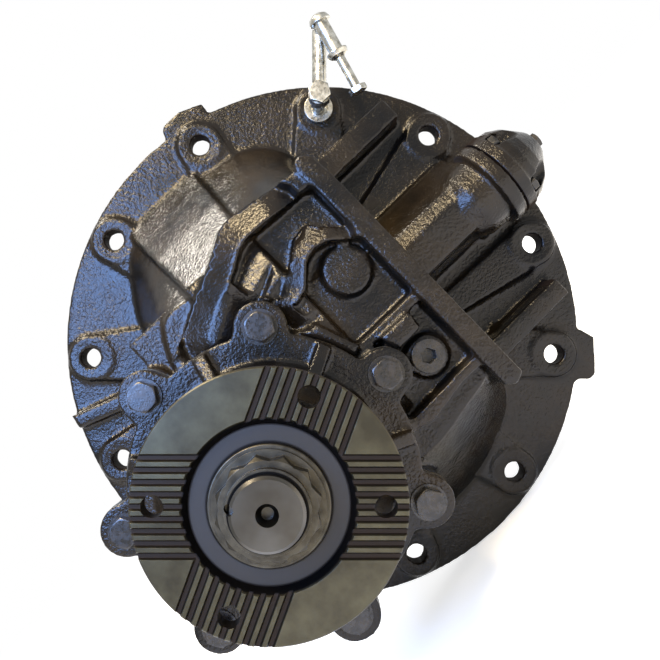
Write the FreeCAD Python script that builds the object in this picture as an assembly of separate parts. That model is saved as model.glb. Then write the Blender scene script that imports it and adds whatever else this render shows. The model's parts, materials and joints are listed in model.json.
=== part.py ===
import FreeCAD, Part
import math
import os

from FreeCAD import Vector

# Truck final drive: a cast carrier with a hypoid pinion and ring gear, a bevel
# gear differential and an air-operated differential lock.
# Frame, in millimetres: the origin is the centre of the mounting face, +X runs
# along the axle towards the lock actuator, -Y is forward along the pinion and
# +Z is up.

# Carrier flange and its bolt holes
FLANGE_R = 236.0
FLANGE_T = 20.0
BOSS_RISE = 5.0
BOSS_R = 21.0
SPOT_FACE_R = 18.0
SPOT_FACE_D = 0.8
HOLE_R = 8.75
HOLE_CIRCLE_R = 213.0
HOLE_ANGLES = (18.8, 47.0, 78.0, 110.0, 140.0, 166.5)
PILOT_R = 190.0
PILOT_WALL = 8.0
PILOT_H = 8.0
WALL = 9.0

# Axle axis and pinion axis
AXLE_Y = 45.0
PINION_X = -101.0
PINION_Z = -48.5
CASE_X = -12.0

# Running and fitting clearances
RUN_GAP = 0.3
SHAFT_GAP = 0.05
SWEEP_GAP = 4.0

# Ring gear and pinion
RING_TEETH = 37
PINION_TEETH = 12
RING_R = 182.0
RING_IN_R = 130.0
RING_BORE_R = 118.0
RING_BACK_X = 3.0
RING_MEAN_R = 156.0
RING_PITCH_X = -46.2
RING_CONE = 72.0
RING_SPIRAL = 32.0
RING_ADD = 3.0
RING_DED = 9.0
RING_TIP_HALF = 3.0
RING_ROOT_HALF = 6.0
PINION_FRONT_Y = -134.0
PINION_END_Y = -78.0
PINION_MEAN_Y = -104.9
PINION_MEAN_R = 55.0
PINION_CONE = 17.3
PINION_ADD = 7.0
PINION_DED = 4.5
PINION_TWIST = 0.9634
PINION_TWIST_CURVE = -0.00448
PINION_PHASE = -8.34
PINION_LEAN = 0.15

# Pinion bearings, cage and spigot
CAGE_SPIGOT_R = 84.0
CAGE_SPIGOT_END_Y = -140.0
CAGE_FACE_Y = -150.0
SHIM_T = 1.0
CAGE_FLANGE_T = 16.0
CAGE_NOSE_Y = -243.0
CAGE_NOSE_R = 70.0
CAGE_BODY_R = 92.0
CAGE_PLATE_R = 112.0
CAGE_RIB_T = 10.5
CAGE_BOLT_R = 117.0
CAGE_BOLTS = 7
CAGE_LUG_R = 20.5
CAGE_BOLT_SHANK_R = 7.0
CAGE_BOLT_AF = 21.0
CAGE_BOLT_HEAD_H = 9.0
CAGE_THREAD = 10.0
INNER_BRG_Y = -141.0
INNER_BRG_W = 36.0
INNER_BRG_R = 66.0
INNER_BRG_BORE_R = 34.0
OUTER_BRG_Y = -196.0
OUTER_BRG_W = 32.0
OUTER_BRG_R = 55.0
OUTER_BRG_BORE_R = 29.0
SPIGOT_BRG_Y = -42.0
SPIGOT_BRG_W = 26.0
SPIGOT_BRG_R = 40.0
SPIGOT_BRG_BORE_R = 25.0
SPIGOT_BOSS_R = 50.0
SEAL_W = 10.0
SEAL_R = 52.0
HEAD_BORE_R = 80.0

# Companion flange, nut and shaft end
COMP_R = 90.0
COMP_FACE_Y = -265.0
COMP_T = 17.0
COMP_RECESS_R = 56.0
COMP_RECESS_D = 8.0
COMP_HOLE_R = 7.5
COMP_HOLE_CIRCLE_R = 75.0
COMP_HOLE_ANGLES = (26.0, 136.0, 206.0, 316.0)
COMP_HUB_R = 36.0
GROOVES = 9
GROOVE_PITCH = 7.85
GROOVE_TOP = 4.7
GROOVE_FLOOR = 2.6
GROOVE_D = 2.4
SPLINE_R = 26.0
THREAD_R = 24.0
WASHER_R = 40.5
WASHER_T = 5.0
NUT_AF = 60.0
NUT_H = 16.0
NUT_COLLAR_R = 27.4
NUT_COLLAR_H = 6.0
SHAFT_END_Y = -292.0
CENTRE_HOLE_R = 7.3

# Differential case and its gears
CASE_R = 94.0
CASE_HALF_L = 58.0
CASE_CAVITY_R = 78.0
CASE_FLANGE_R = 160.0
CASE_FLANGE_T = 16.0
CASE_WEB_R = 117.0
CASE_WEB_T = 14.0
TRUNNION_R = 45.0
TRUNNION_BORE_R = 33.0
RING_BOLT_CIRCLE_R = 146.0
RING_BOLTS = 16
RING_BOLT_R = 7.0
CASE_BOLT_CIRCLE_R = 105.5
CASE_BOLTS = 12
CASE_BOLT_R = 5.0
BEVEL_SIDE_TEETH = 20
BEVEL_SPIDER_TEETH = 10
BEVEL_MODULE = 6.0
BEVEL_FACE = 24.0
BEVEL_ADD = 4.6
BEVEL_DED = 6.4
SIDE_BACK_X = 46.0
SIDE_HUB_L = 24.0
SIDE_BORE_R = 24.0
THRUST_T = 1.5
CROSS_R = 13.0
CROSS_HUB_R = 23.0

# Side bearings, adjusting rings and caps
SIDE_BRG_W = 34.0
SIDE_BRG_R = 72.0
ADJUSTER_W = 12.0
ADJUSTER_R = 74.0
ADJUSTER_BORE_R = 56.0
ADJUSTER_NOTCHES = 12
LOCK_BOLT_REACH = 83.5
LOCK_PLATE_T = 3.0
CAP_R = 93.0
CAP_BOLT_Z = 92.0
CAP_BOLT_R = 9.0
CAP_BOLT_AF = 27.0
CAP_BOLT_HEAD_H = 12.0
CAP_FOOT_H = 46.0
PEDESTAL_HALF_Z = 108.0

# Differential lock
SHIFT_Y = -70.0
SHIFT_Z = -2.0
SHIFT_R = 9.0
LOCK_TRAVEL = 16.0
DOG_TEETH = 16
DOG_ROOT_R = 37.0
DOG_TIP_R = 41.0
DOG_L = 14.0
COLLAR_X = 113.0
COLLAR_L = 36.0
COLLAR_R = 50.0
GROOVE_R = 44.0
GROOVE_OFFSET = 17.0
FORK_T = 11.4
CYLINDER_R = 33.0
PISTON_R = 25.0
PISTON_T = 12.0
PISTON_X = 200.0
COVER_X = 205.0
COVER_END_X = 249.0
COVER_R = 39.0
COVER_BOLT_R = 32.0
M8_R = 4.0
SPRING_R = 15.0
SPRING_WIRE_R = 1.8
SPRING_TURNS = 4.5
SPRING_STEPS = 14
SPRING_SEAT_X = 166.0

X = Vector(1, 0, 0)
Y = Vector(0, 1, 0)
Z = Vector(0, 0, 1)
AXLE = Vector(0, AXLE_Y, 0)
PINION = Vector(PINION_X, 0, PINION_Z)
SHIFT = Vector(0, SHIFT_Y, SHIFT_Z)


# Shared shapes

def polar(radius, angle):
    """X and Z of a point at this angle from +X, turning towards +Z."""
    return radius * math.cos(math.radians(angle)), radius * math.sin(math.radians(angle))


def y_rod(radius, y0, y1, x=0.0, z=0.0):
    return Part.makeCylinder(radius, abs(y1 - y0), Vector(x, min(y0, y1), z), Y)


def x_rod(radius, x0, x1, centre=AXLE):
    base = Vector(min(x0, x1), centre.y, centre.z)
    return Part.makeCylinder(radius, abs(x1 - x0), base, X)


def y_tube(outer, inner, y0, y1, x=0.0, z=0.0):
    bore = y_rod(inner, min(y0, y1) - 1, max(y0, y1) + 1, x, z)
    return y_rod(outer, y0, y1, x, z).cut(bore)


def x_tube(outer, inner, x0, x1, centre=AXLE):
    bore = x_rod(inner, min(x0, x1) - 1, max(x0, x1) + 1, centre)
    return x_rod(outer, x0, x1, centre).cut(bore)


def face_of(points):
    return Part.Face(Part.makePolygon(points + [points[0]]))


def y_prism(outline, y0, y1):
    """A plate whose outline is given in X and Z."""
    return face_of([Vector(x, y0, z) for x, z in outline]).extrude(Vector(0, y1 - y0, 0))


def x_prism(outline, x0, x1):
    """A bar whose outline is given in Y and Z."""
    return face_of([Vector(x0, y, z) for y, z in outline]).extrude(Vector(x1 - x0, 0, 0))


def z_prism(outline, z0, z1):
    """A block whose outline is given in X and Y."""
    return face_of([Vector(x, y, z0) for x, y in outline]).extrude(Vector(0, 0, z1 - z0))


def box(x0, x1, y0, y1, z0, z1):
    return Part.makeBox(x1 - x0, y1 - y0, z1 - z0, Vector(x0, y0, z0))


def x_turned(profile, centre=AXLE):
    """Turned about an axis along X: the profile holds (x, radius) points."""
    face = face_of([Vector(x, centre.y, centre.z + r) for x, r in profile])
    return face.revolve(centre, X, 360)


def y_turned(profile, x=PINION_X, z=PINION_Z):
    """Turned about an axis along Y: the profile holds (y, radius) points."""
    face = face_of([Vector(x + r, y, z) for y, r in profile])
    return face.revolve(Vector(x, 0, z), Y, 360)


def smooth_wire(outline, y):
    curve = Part.BSplineCurve()
    curve.interpolate([Vector(x, y, z) for x, z in outline], PeriodicFlag=True)
    return Part.Wire(curve.toShape())


def smooth_loft(outline_a, y_a, outline_b, y_b):
    wires = [smooth_wire(outline_a, y_a), smooth_wire(outline_b, y_b)]
    return Part.makeLoft(wires, True, True)


def inset(outline, amount):
    """The outline moved inward along the mean of its neighbouring edges' normals."""
    inner = []
    count = len(outline)
    for i in range(count):
        before = outline[i - 1]
        after = outline[(i + 1) % count]
        along = Vector(after[0] - before[0], 0, after[1] - before[1]).normalize()
        x, z = outline[i]
        inner.append((x - along.z * amount, z + along.x * amount))
    return inner


def moved(shape, offset):
    copy = shape.copy()
    copy.translate(offset)
    return copy


def turned(shape, angle, centre=AXLE, axis=X):
    copy = shape.copy()
    copy.rotate(centre, axis, angle)
    return copy


def around(shape, count, centre=AXLE, axis=X, start=0.0):
    return [turned(shape, start + 360.0 * i / count, centre, axis) for i in range(count)]


def joined(shapes):
    return shapes[0].multiFuse(shapes[1:])


def hexagon(centre, across_flats, y, spin=0.0):
    radius = across_flats / math.sqrt(3.0)
    corners = [polar(radius, spin + 60.0 * i) for i in range(6)]
    return [Vector(centre[0] + x, y, centre[1] + z) for x, z in corners]


def y_bolt(centre, head_y, across_flats, head_h, shank_r, length, flange_r=0.0, flange_t=0.0):
    """A hex bolt driven along +Y, its head resting at head_y."""
    x, z = centre
    seat = head_y - flange_t
    head = face_of(hexagon(centre, across_flats, seat - head_h)).extrude(Vector(0, head_h, 0))
    chamfer = Part.makeCone(
        across_flats * 0.47, across_flats * 0.47 + head_h * 2, head_h, Vector(x, seat - head_h, z), Y)
    parts = [head.common(chamfer), y_rod(shank_r, seat, head_y + length, x, z)]
    if flange_r:
        parts.append(y_rod(flange_r, seat, head_y, x, z))
    return joined(parts)


def x_bolt(centre, head_x, across_flats, head_h, shank_r, length, side):
    """A hex bolt along X whose head stands off towards side (+1 or -1)."""
    bolt = y_bolt((0, 0), 0, across_flats, head_h, shank_r, length)
    bolt.rotate(Vector(0, 0, 0), Z, 90 * side)
    bolt.translate(Vector(head_x, centre[0], centre[1]))
    return bolt


# Carrier housing

def hole_centres():
    upper = [polar(HOLE_CIRCLE_R, angle) for angle in HOLE_ANGLES]
    return upper + [(x, -z) for x, z in upper]


def cage_bolt_centres():
    centres = []
    for i in range(CAGE_BOLTS):
        x, z = polar(CAGE_BOLT_R, 360.0 * i / CAGE_BOLTS)
        centres.append((PINION_X + x, PINION_Z + z))
    return centres


DOME_BASE_Y = -FLANGE_T
DOME_TOP_Y = -125.0
DOME_BASE = [
    (-62, 186), (-20, 190), (22, 190), (42, 186), (63, 181), (80, 171), (93, 156), (99, 134), (101, 60),
    (101, -60), (98, -128), (86, -155), (62, -172), (20, -187), (-20, -190), (-62, -186), (-86, -164),
    (-104, -134), (-120, -84), (-124, 0), (-120, 80), (-106, 134), (-86, 164)]
DOME_TOP = [
    (-52, 100), (-18, 98), (14, 104), (30, 112), (44, 114), (60, 111), (80, 104), (89, 88), (92, 40),
    (92, -60), (88, -96), (76, -108), (50, -114), (20, -120), (-18, -120), (-52, -114), (-80, -102),
    (-98, -84), (-110, -50), (-112, 0), (-108, 46), (-96, 80), (-78, 102)]
BULGE_TOP = [(-18.0, 198.0), (-80.0, 149.0), (-128.0, 107.0), (-144.0, 60.0)]
BULGE_R = RING_R + SWEEP_GAP + 7.0


def dome_skin():
    return smooth_loft(DOME_BASE, DOME_BASE_Y, DOME_TOP, DOME_TOP_Y)


def dome_cavity():
    floor_y = DOME_TOP_Y + WALL
    return smooth_loft(inset(DOME_BASE, -WALL), 1.0, inset(DOME_TOP, -WALL), floor_y)


def ring_bulge():
    """The faceted hump over the ring gear, drafted on both sides."""
    arc = []
    for angle in range(165, 246, 10):
        y, z = polar(BULGE_R, angle)
        arc.append((AXLE_Y + y, z))
    arc.append((DOME_BASE_Y + 2, -math.sqrt(BULGE_R**2 - (AXLE_Y - DOME_BASE_Y - 2)**2)))
    hump = x_prism(BULGE_TOP + arc, -70, 40)
    plan = [(-63, 0), (-50, -160), (13, -160), (24, 0)]
    return hump.common(z_prism(plan, -FLANGE_R, FLANGE_R))


def flange_plate():
    plate = y_rod(FLANGE_R, -FLANGE_T, 0)
    top_tab = [(22, 220), (28, 242), (34, 246), (52, 245), (73, 236), (70, 214), (50, 200)]
    side_tab = [(118, -190), (146, -189), (154, -197), (161, -197), (184, -171), (180, -158), (160, -140)]
    tabs = [y_prism(top_tab, -FLANGE_T, 0), y_prism(side_tab, -FLANGE_T, 0)]
    bosses = [y_rod(BOSS_R, -FLANGE_T - BOSS_RISE, 0, x, z) for x, z in hole_centres()]
    return joined([plate] + tabs + bosses)


def boss_strips():
    """Raised bands that carry each bolt boss back to the dome."""
    front = -FLANGE_T - BOSS_RISE + 1.5
    strips = []
    for x, z in hole_centres():
        if x > 180:
            continue
        length = 58.0 if abs(z) > 60 else 90.0
        out = Vector(x, 0, z).normalize()
        side = Vector(-out.z, 0, out.x)
        root = Vector(x, 0, z) - out * length
        half = BOSS_R - 0.5
        corners = [Vector(x, 0, z) + side * half, root + side * half * 1.25,
                   root - side * half * 1.25, Vector(x, 0, z) - side * half]
        strips.append(y_prism([(c.x, c.z) for c in corners], front, -FLANGE_T + 1))
    upper_wedge = [(100, 44.5), (206, 44.5), (211, 72), (204, 83.5), (180, 83), (100, 63)]
    lower_wedge = [(100, -46), (206, -48), (211, -70), (204, -84), (190, -88), (100, -67)]
    strips.append(y_prism(upper_wedge, front, -FLANGE_T + 1))
    strips.append(y_prism(lower_wedge, front, -FLANGE_T + 1))
    return strips


NOSE_R = 98.0
PAD_R = CAGE_PLATE_R + 1.0
PAD_T = 22.0
LUG_ROOT_Y = -96.0


def pinion_nose():
    """The barrel round the pinion, with a lug behind each cage bolt."""
    pad_back = CAGE_FACE_Y + PAD_T
    nose = y_turned([(-FLANGE_T, 0), (-FLANGE_T, NOSE_R + 6), (pad_back + 14, NOSE_R + 1), (pad_back, PAD_R),
                     (CAGE_FACE_Y, PAD_R), (CAGE_FACE_Y, 0)])
    lugs = []
    for x, z in cage_bolt_centres():
        lugs.append(y_rod(CAGE_LUG_R, CAGE_FACE_Y, LUG_ROOT_Y, x, z))
        out = Vector(x - PINION_X, 0, z - PINION_Z).normalize()
        side = Vector(-out.z, 0, out.x)
        foot = PINION + out * (NOSE_R - 20)
        tip = Vector(x, 0, z)
        half = CAGE_LUG_R
        plan = [foot + side * half, tip + side * half, tip - side * half, foot - side * half]
        lugs.append(y_prism([(p.x, p.z) for p in plan], CAGE_FACE_Y, LUG_ROOT_Y))
        lugs.append(Part.makeCone(CAGE_LUG_R, 7.0, 30.0, Vector(x, LUG_ROOT_Y, z), Y))
    return [nose] + lugs


RIB_Y = CAGE_FACE_Y - 4.0


def front_ribs():
    """The cast ribs that frame the front of the carrier."""
    roof = [(-94, 72), (-55, 93.5), (-24, 107), (0, 121), (11, 123), (40, 118), (77, 111.5), (92, 104),
            (90, 90), (68, 97), (40, 98.5), (12, 100), (1, 97), (-13.5, 88), (-24.5, 83)]
    gusset = [(-98, 70), (-24.5, 86), (-22.5, 67.5), (-32, 58), (-48, 60), (-72, 65.5)]
    boss_edge = [(-27, 86), (-22, 86), (-17, 66), (-2, 48), (3, 20), (17, -20),
                 (10, -24), (-6, 10), (-12, 44), (-26, 60)]
    arch = [(-3, 46), (23, 63), (38, 74.5), (52, 77), (60, 66), (84, 46), (84, 38), (74, 41),
            (56, 55), (44, 58), (33, 55), (18, 40), (4, 36)]
    spine = [(76, 116), (84, 119), (92, 112), (94, 90), (94, -122), (84, -126), (76.5, -120)]
    cross = [(8, -18.5), (80, -18.5), (80, -27), (8, -27)]
    lower = [(-4, -84), (9, -90), (57, -88), (80, -88), (80, -97), (57, -96), (20, -102), (2, -98)]
    floor = [(18, 42), (80, 42), (80, -92), (18, -92)]
    ribs = [y_prism(roof, RIB_Y + 4, -96), y_prism(gusset, RIB_Y + 5.5, -60)]
    ribs += [y_prism(boss_edge, RIB_Y, -110), y_prism(arch, RIB_Y + 2, -110)]
    ribs += [y_prism(spine, RIB_Y + 2, -40), y_prism(cross, RIB_Y + 6, -110)]
    ribs += [y_prism(lower, RIB_Y + 6, -110), y_prism(floor, DOME_TOP_Y - 2, -110)]
    return ribs


ROUND_BOSS = (52.0, 29.0, 20.5)
PLUG_BOSS = (50.5, -63.5, 17.0)


def front_bosses():
    x, z, radius = ROUND_BOSS
    blank = y_rod(radius, DOME_TOP_Y - 8, -110, x, z)
    x, z, radius = PLUG_BOSS
    plug = y_rod(radius, DOME_TOP_Y - 14, -110, x, z)
    block = y_prism([(32, -27), (62, -27), (60, -43), (36, -43)], RIB_Y - 2, -110)
    return [blank, plug, block]


def side_ribs():
    """Long low ribs on the lock side that stiffen the flange."""
    upper = [(88, 96), (190, 97), (190, 118), (88, 119)]
    lower = [(88, -101), (188, -101), (188, -119), (88, -121)]
    ribs = []
    for outline in (upper, lower):
        bar = y_prism(outline, -64, -FLANGE_T + 1)
        slope = z_prism([(88, -80), (104, -64), (186, -58), (190, -FLANGE_T), (88, -FLANGE_T)], -140, 140)
        ribs.append(bar.common(slope))
    left_outline = [(-214, 96), (-211, 110), (-160, 92), (-128, 80), (-128, 62), (-160, 76)]
    left = y_prism(left_outline, -34, -FLANGE_T + 1)
    return ribs + [left]


def shift_housing():
    """The cast trough over the shift shaft and the lock cylinder at its end."""
    crest = SHIFT_Y - 27
    trough = [(-FLANGE_T + 1, 46), (-44, 44), (crest + 6, 21), (crest, 9),
              (crest + 3, -20), (-FLANGE_T + 1, -31)]
    body = x_prism(trough, 86, 190)
    cylinder = x_rod(CYLINDER_R, 172, COVER_X, SHIFT)
    neck = Part.makeCone(27.0, CYLINDER_R, 14.0, Vector(158, SHIFT_Y, SHIFT_Z), X)
    foot = y_prism([(172, 31), (203, 31), (203, -35), (172, -35)], SHIFT_Y, -FLANGE_T + 1)
    flange = x_rod(COVER_R, COVER_X - 14, COVER_X, SHIFT)
    return [body, cylinder, neck, foot, flange]


def pedestals():
    """Legs behind the domes that hold the side bearings."""
    half = CASE_HALF_L + 1
    reach = SIDE_BRG_W + ADJUSTER_W
    left = box(CASE_X - half - reach, CASE_X - half, -118, AXLE_Y, -PEDESTAL_HALF_Z, PEDESTAL_HALF_Z)
    right = box(CASE_X + half, CASE_X + half + reach, -118, AXLE_Y, -PEDESTAL_HALF_Z, PEDESTAL_HALF_Z)
    return left, right


def spigot_web():
    """The wall behind the pinion head with the seat of its spigot bearing."""
    seat_y = SPIGOT_BRG_Y
    wall = box(PINION_X - 90, CASE_X - CASE_HALF_L - 1, seat_y - SPIGOT_BRG_W - 4, seat_y + 10, -140, 60)
    boss = y_rod(SPIGOT_BOSS_R, seat_y - SPIGOT_BRG_W - 4, seat_y + 14, PINION_X, PINION_Z)
    return wall, boss


def housing_outside():
    shapes = [dome_skin(), ring_bulge(), flange_plate()]
    shapes += boss_strips() + pinion_nose() + front_ribs() + front_bosses()
    shapes += side_ribs() + shift_housing()
    return joined(shapes)


def ring_face_x(radius, height):
    """X of a cone that stands this height above the ring gear's pitch cone."""
    return RING_PITCH_X + (radius - RING_MEAN_R) / math.tan(math.radians(RING_CONE)) - height


def ring_gear_sweep():
    outer = RING_R + SWEEP_GAP
    height = RING_ADD + SWEEP_GAP
    profile = [(ring_face_x(RING_IN_R, height), 0), (ring_face_x(RING_IN_R, height), RING_IN_R),
               (ring_face_x(outer, height), outer), (RING_BACK_X + 1.5, outer), (RING_BACK_X + 1.5, 0)]
    return x_turned(profile)


def moving_space():
    """Room for everything that turns inside the carrier."""
    left_x = CASE_X - CASE_HALF_L - 1
    sweeps = [
        ring_gear_sweep(),
        x_rod(CASE_FLANGE_R + SWEEP_GAP, RING_BACK_X, RING_BACK_X + CASE_FLANGE_T + 14),
        x_rod(CASE_WEB_R + SWEEP_GAP, left_x + 0.5, CASE_X + CASE_HALF_L + 0.5),
        y_rod(HEAD_BORE_R, CAGE_SPIGOT_END_Y - 1, SPIGOT_BRG_Y - SPIGOT_BRG_W - 4, PINION_X, PINION_Z),
        y_rod(CAGE_SPIGOT_R, CAGE_FACE_Y - 1, CAGE_SPIGOT_END_Y, PINION_X, PINION_Z),
        y_rod(SPIGOT_BRG_R, SPIGOT_BRG_Y - SPIGOT_BRG_W - 5, SPIGOT_BRG_Y, PINION_X, PINION_Z),
        y_rod(SPIGOT_BRG_R - 8, SPIGOT_BRG_Y, SPIGOT_BRG_Y + 16, PINION_X, PINION_Z)]
    return sweeps


def bearing_space():
    cuts = []
    for side in (-1, 1):
        start, bearing_end, end = side_span(side)
        cuts.append(x_rod(SIDE_BRG_R, start - side, bearing_end))
        cuts.append(x_rod(ADJUSTER_R, bearing_end, end))
        cuts.append(x_rod(ADJUSTER_R + 3, end, end + side * 6))
    return cuts


def lock_space():
    """The cavity of the shift shaft, its guides and the lock cylinder."""
    collar_end = COLLAR_X + COLLAR_L
    trunnion_x = side_span(1)[2]
    return [
        x_rod(20.0, trunnion_x + 7, SPRING_SEAT_X - 10, SHIFT),
        x_rod(SHIFT_R + SHAFT_GAP, 66, SPRING_SEAT_X + 1, SHIFT),
        x_rod(PISTON_R, SPRING_SEAT_X, COVER_X + 1, SHIFT),
        box(COLLAR_X - LOCK_TRAVEL - 1, collar_end + 2, SHIFT_Y, 1, SHIFT_Z - 15, SHIFT_Z + 15),
        box(COLLAR_X - LOCK_TRAVEL - 4, collar_end + 6, -10, 1, -54, 54),
        x_rod(COLLAR_R + 2.5, trunnion_x + 1, collar_end + 6)]


def housing_holes():
    holes = [y_rod(HOLE_R, -60, 10, x, z) for x, z in hole_centres()]
    spot_y = -FLANGE_T - BOSS_RISE
    holes += [y_rod(SPOT_FACE_R, spot_y - 40, spot_y + SPOT_FACE_D, x, z) for x, z in hole_centres()]
    for x, z in cage_bolt_centres():
        holes.append(y_rod(CAGE_BOLT_SHANK_R, CAGE_FACE_Y - 1, CAGE_FACE_Y + CAGE_THREAD + 0.5, x, z))
    for x in cap_bolt_xs():
        for z in (-CAP_BOLT_Z, CAP_BOLT_Z):
            holes.append(y_rod(CAP_BOLT_R, AXLE_Y - 48, AXLE_Y + 1, x, z))
    x, z, radius = PLUG_BOSS
    holes.append(y_rod(10.0, DOME_TOP_Y - 20, DOME_TOP_Y + 12, x, z))
    for y, z in cover_bolt_centres():
        holes.append(x_rod(M8_R, COVER_X - 12, COVER_X + 1, Vector(0, y, z)))
    return holes


def carrier_housing():
    outside = housing_outside()
    left_leg, right_leg = pedestals()
    wall, boss = spigot_web()
    legs = joined([left_leg, right_leg])
    web = joined([wall.common(outside), boss])
    pilot = y_tube(PILOT_R, PILOT_R - PILOT_WALL, -2, PILOT_H)
    pilot = pilot.cut(box(-12, 12, -3, PILOT_H + 1, -PILOT_R - 2, -PILOT_R + 30))
    shell = outside.cut(dome_cavity())
    shell = joined([shell, pilot, legs, web])
    cage_room = lug_plate(2 * CAGE_FACE_Y, CAGE_FACE_Y, PAD_R - CAGE_PLATE_R)
    cuts = moving_space() + bearing_space() + lock_space() + housing_holes() + [cage_room]
    body = shell.cut(joined(cuts))
    solids = sorted(body.Solids, key=lambda s: s.Volume)
    return solids[-1]


# Pinion cage with its bearings and seal

CAGE_FRONT_Y = CAGE_FACE_Y - SHIM_T - CAGE_FLANGE_T


def lug_plate(y0, y1, grown=0.0):
    """The cage outline: a ring with a rounded lug at each bolt."""
    half = CAGE_LUG_R + grown
    ring_r = CAGE_PLATE_R + grown
    shapes = [y_rod(ring_r, y0, y1, PINION_X, PINION_Z)]
    for x, z in cage_bolt_centres():
        shapes.append(y_rod(half, y0, y1, x, z))
        out = Vector(x - PINION_X, 0, z - PINION_Z).normalize()
        side = Vector(-out.z, 0, out.x)
        foot = PINION + out * (ring_r - CAGE_LUG_R)
        tip = Vector(x, 0, z)
        plan = [foot + side * half * 1.35, tip + side * half, tip - side * half, foot - side * half * 1.35]
        shapes.append(y_prism([(p.x, p.z) for p in plan], y0, y1))
    return joined(shapes)


def cage_bolt_holes(radius, y0, y1):
    return [y_rod(radius, y0, y1, x, z) for x, z in cage_bolt_centres()]


def pinion_cage():
    back = CAGE_FACE_Y - SHIM_T
    plate = lug_plate(CAGE_FRONT_Y, back)
    spigot = y_rod(CAGE_SPIGOT_R - SHAFT_GAP, back, CAGE_SPIGOT_END_Y, PINION_X, PINION_Z)
    cone = y_turned([(CAGE_FRONT_Y + 1, 0), (CAGE_FRONT_Y + 1, CAGE_BODY_R),
                     (CAGE_FRONT_Y - 12, CAGE_BODY_R - 8), (CAGE_NOSE_Y + 14, CAGE_NOSE_R),
                     (CAGE_NOSE_Y, CAGE_NOSE_R), (CAGE_NOSE_Y, 0)])
    ribs = []
    for i in range(CAGE_BOLTS):
        angle = 360.0 * (i + 0.5) / CAGE_BOLTS
        rib = z_prism([(CAGE_NOSE_R - 6, CAGE_NOSE_Y + 16), (CAGE_BODY_R - 4, CAGE_FRONT_Y - 16),
                       (CAGE_PLATE_R - 2, CAGE_FRONT_Y - 7), (CAGE_PLATE_R - 2, CAGE_FRONT_Y + 1),
                       (CAGE_NOSE_R - 6, CAGE_FRONT_Y + 1)], -CAGE_RIB_T / 2, CAGE_RIB_T / 2)
        rib.translate(PINION)
        ribs.append(turned(rib, -angle, PINION, Y))
    body = joined([plate, spigot, cone] + ribs)
    inner_end = INNER_BRG_Y - INNER_BRG_W
    outer_end = OUTER_BRG_Y - OUTER_BRG_W
    cuts = [y_rod(INNER_BRG_R, inner_end, 0, PINION_X, PINION_Z),
            y_rod(INNER_BRG_R - 8, OUTER_BRG_Y, inner_end + 1, PINION_X, PINION_Z),
            y_rod(OUTER_BRG_R, outer_end, OUTER_BRG_Y + 1, PINION_X, PINION_Z),
            y_rod(SEAL_R, CAGE_NOSE_Y - 1, outer_end + 1, PINION_X, PINION_Z)]
    neck = y_tube(INNER_BRG_R - 2, OUTER_BRG_R - 7, OUTER_BRG_Y, OUTER_BRG_Y + 8, PINION_X, PINION_Z)
    cuts += cage_bolt_holes(CAGE_BOLT_SHANK_R + 0.5, CAGE_FRONT_Y - 1, back + 1)
    spots = cage_bolt_holes(CAGE_LUG_R - 1.5, CAGE_FRONT_Y - 60, CAGE_FRONT_Y)
    return body.cut(joined(cuts + spots)).fuse(neck)


def cage_shim():
    plate = lug_plate(CAGE_FACE_Y - SHIM_T, CAGE_FACE_Y)
    holes = [y_rod(CAGE_SPIGOT_R, CAGE_FACE_Y - 3, CAGE_FACE_Y + 1, PINION_X, PINION_Z)]
    holes += cage_bolt_holes(CAGE_BOLT_SHANK_R + 0.5, CAGE_FACE_Y - 3, CAGE_FACE_Y + 1)
    return plate.cut(joined(holes))


def cage_bolts():
    length = CAGE_FLANGE_T + SHIM_T + CAGE_THREAD
    return [y_bolt(c, CAGE_FRONT_Y, CAGE_BOLT_AF, CAGE_BOLT_HEAD_H, CAGE_BOLT_SHANK_R, length,
                   CAGE_BOLT_AF * 0.66, 2.0) for c in cage_bolt_centres()]


def taper_bearing(bore_r, outer_r, width, rollers, gap=SHAFT_GAP):
    """Cup, cone and rollers about +X, small end at x = 0."""
    tilt = math.radians(13.0)
    flare = math.radians(2.0)
    mean_r = bore_r + (outer_r - bore_r) * 0.52
    roller_r = (outer_r - bore_r) * 0.21
    length = width * 0.62
    mid = width * 0.5

    def race(x, side):
        slope = math.tan(tilt + side * flare)
        return mean_r + side * roller_r / math.cos(tilt) + (x - mid) * slope

    lip = roller_r * 0.5
    x0 = mid - length / 2 * math.cos(tilt) - 0.6
    x1 = mid + length / 2 * math.cos(tilt) + (roller_r + 1) * math.sin(tilt) + gap
    cone = [(0, bore_r), (0, race(x0, -1) + lip * 0.6), (x0, race(x0, -1) + lip * 0.6), (x0, race(x0, -1)),
            (x1, race(x1, -1)), (x1, race(x1, -1) + lip), (width, race(x1, -1) + lip), (width, bore_r)]
    cup_x = width * 0.12
    cup = [(cup_x - width * 0.12, outer_r), (0, race(0, 1)), (width - cup_x, race(width - cup_x, 1)),
           (width - cup_x, outer_r)]
    solids = [taper_roller(mean_r, roller_r - gap, length, mid, tilt, flare)]
    pieces = around(solids[0], rollers, Vector(0, 0, 0), X)
    centre = Vector(0, 0, 0)
    return x_turned(cup, centre), x_turned(cone, centre), pieces


ROLLER_SIDES = 10


def taper_roller(mean_r, radius, length, mid, tilt, flare):
    wires = []
    for end in (-1, 1):
        r = radius + end * length / 2 * math.tan(flare)
        ring = [Vector(end * length / 2, r * math.cos(a), r * math.sin(a))
                for a in [2 * math.pi * i / ROLLER_SIDES for i in range(ROLLER_SIDES)]]
        wires.append(Part.makePolygon(ring + [ring[0]]))
    roller = Part.makeLoft(wires, True, True)
    roller.rotate(Vector(0, 0, 0), Y, -math.degrees(tilt))
    roller.translate(Vector(mid, 0, mean_r))
    return roller


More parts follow.
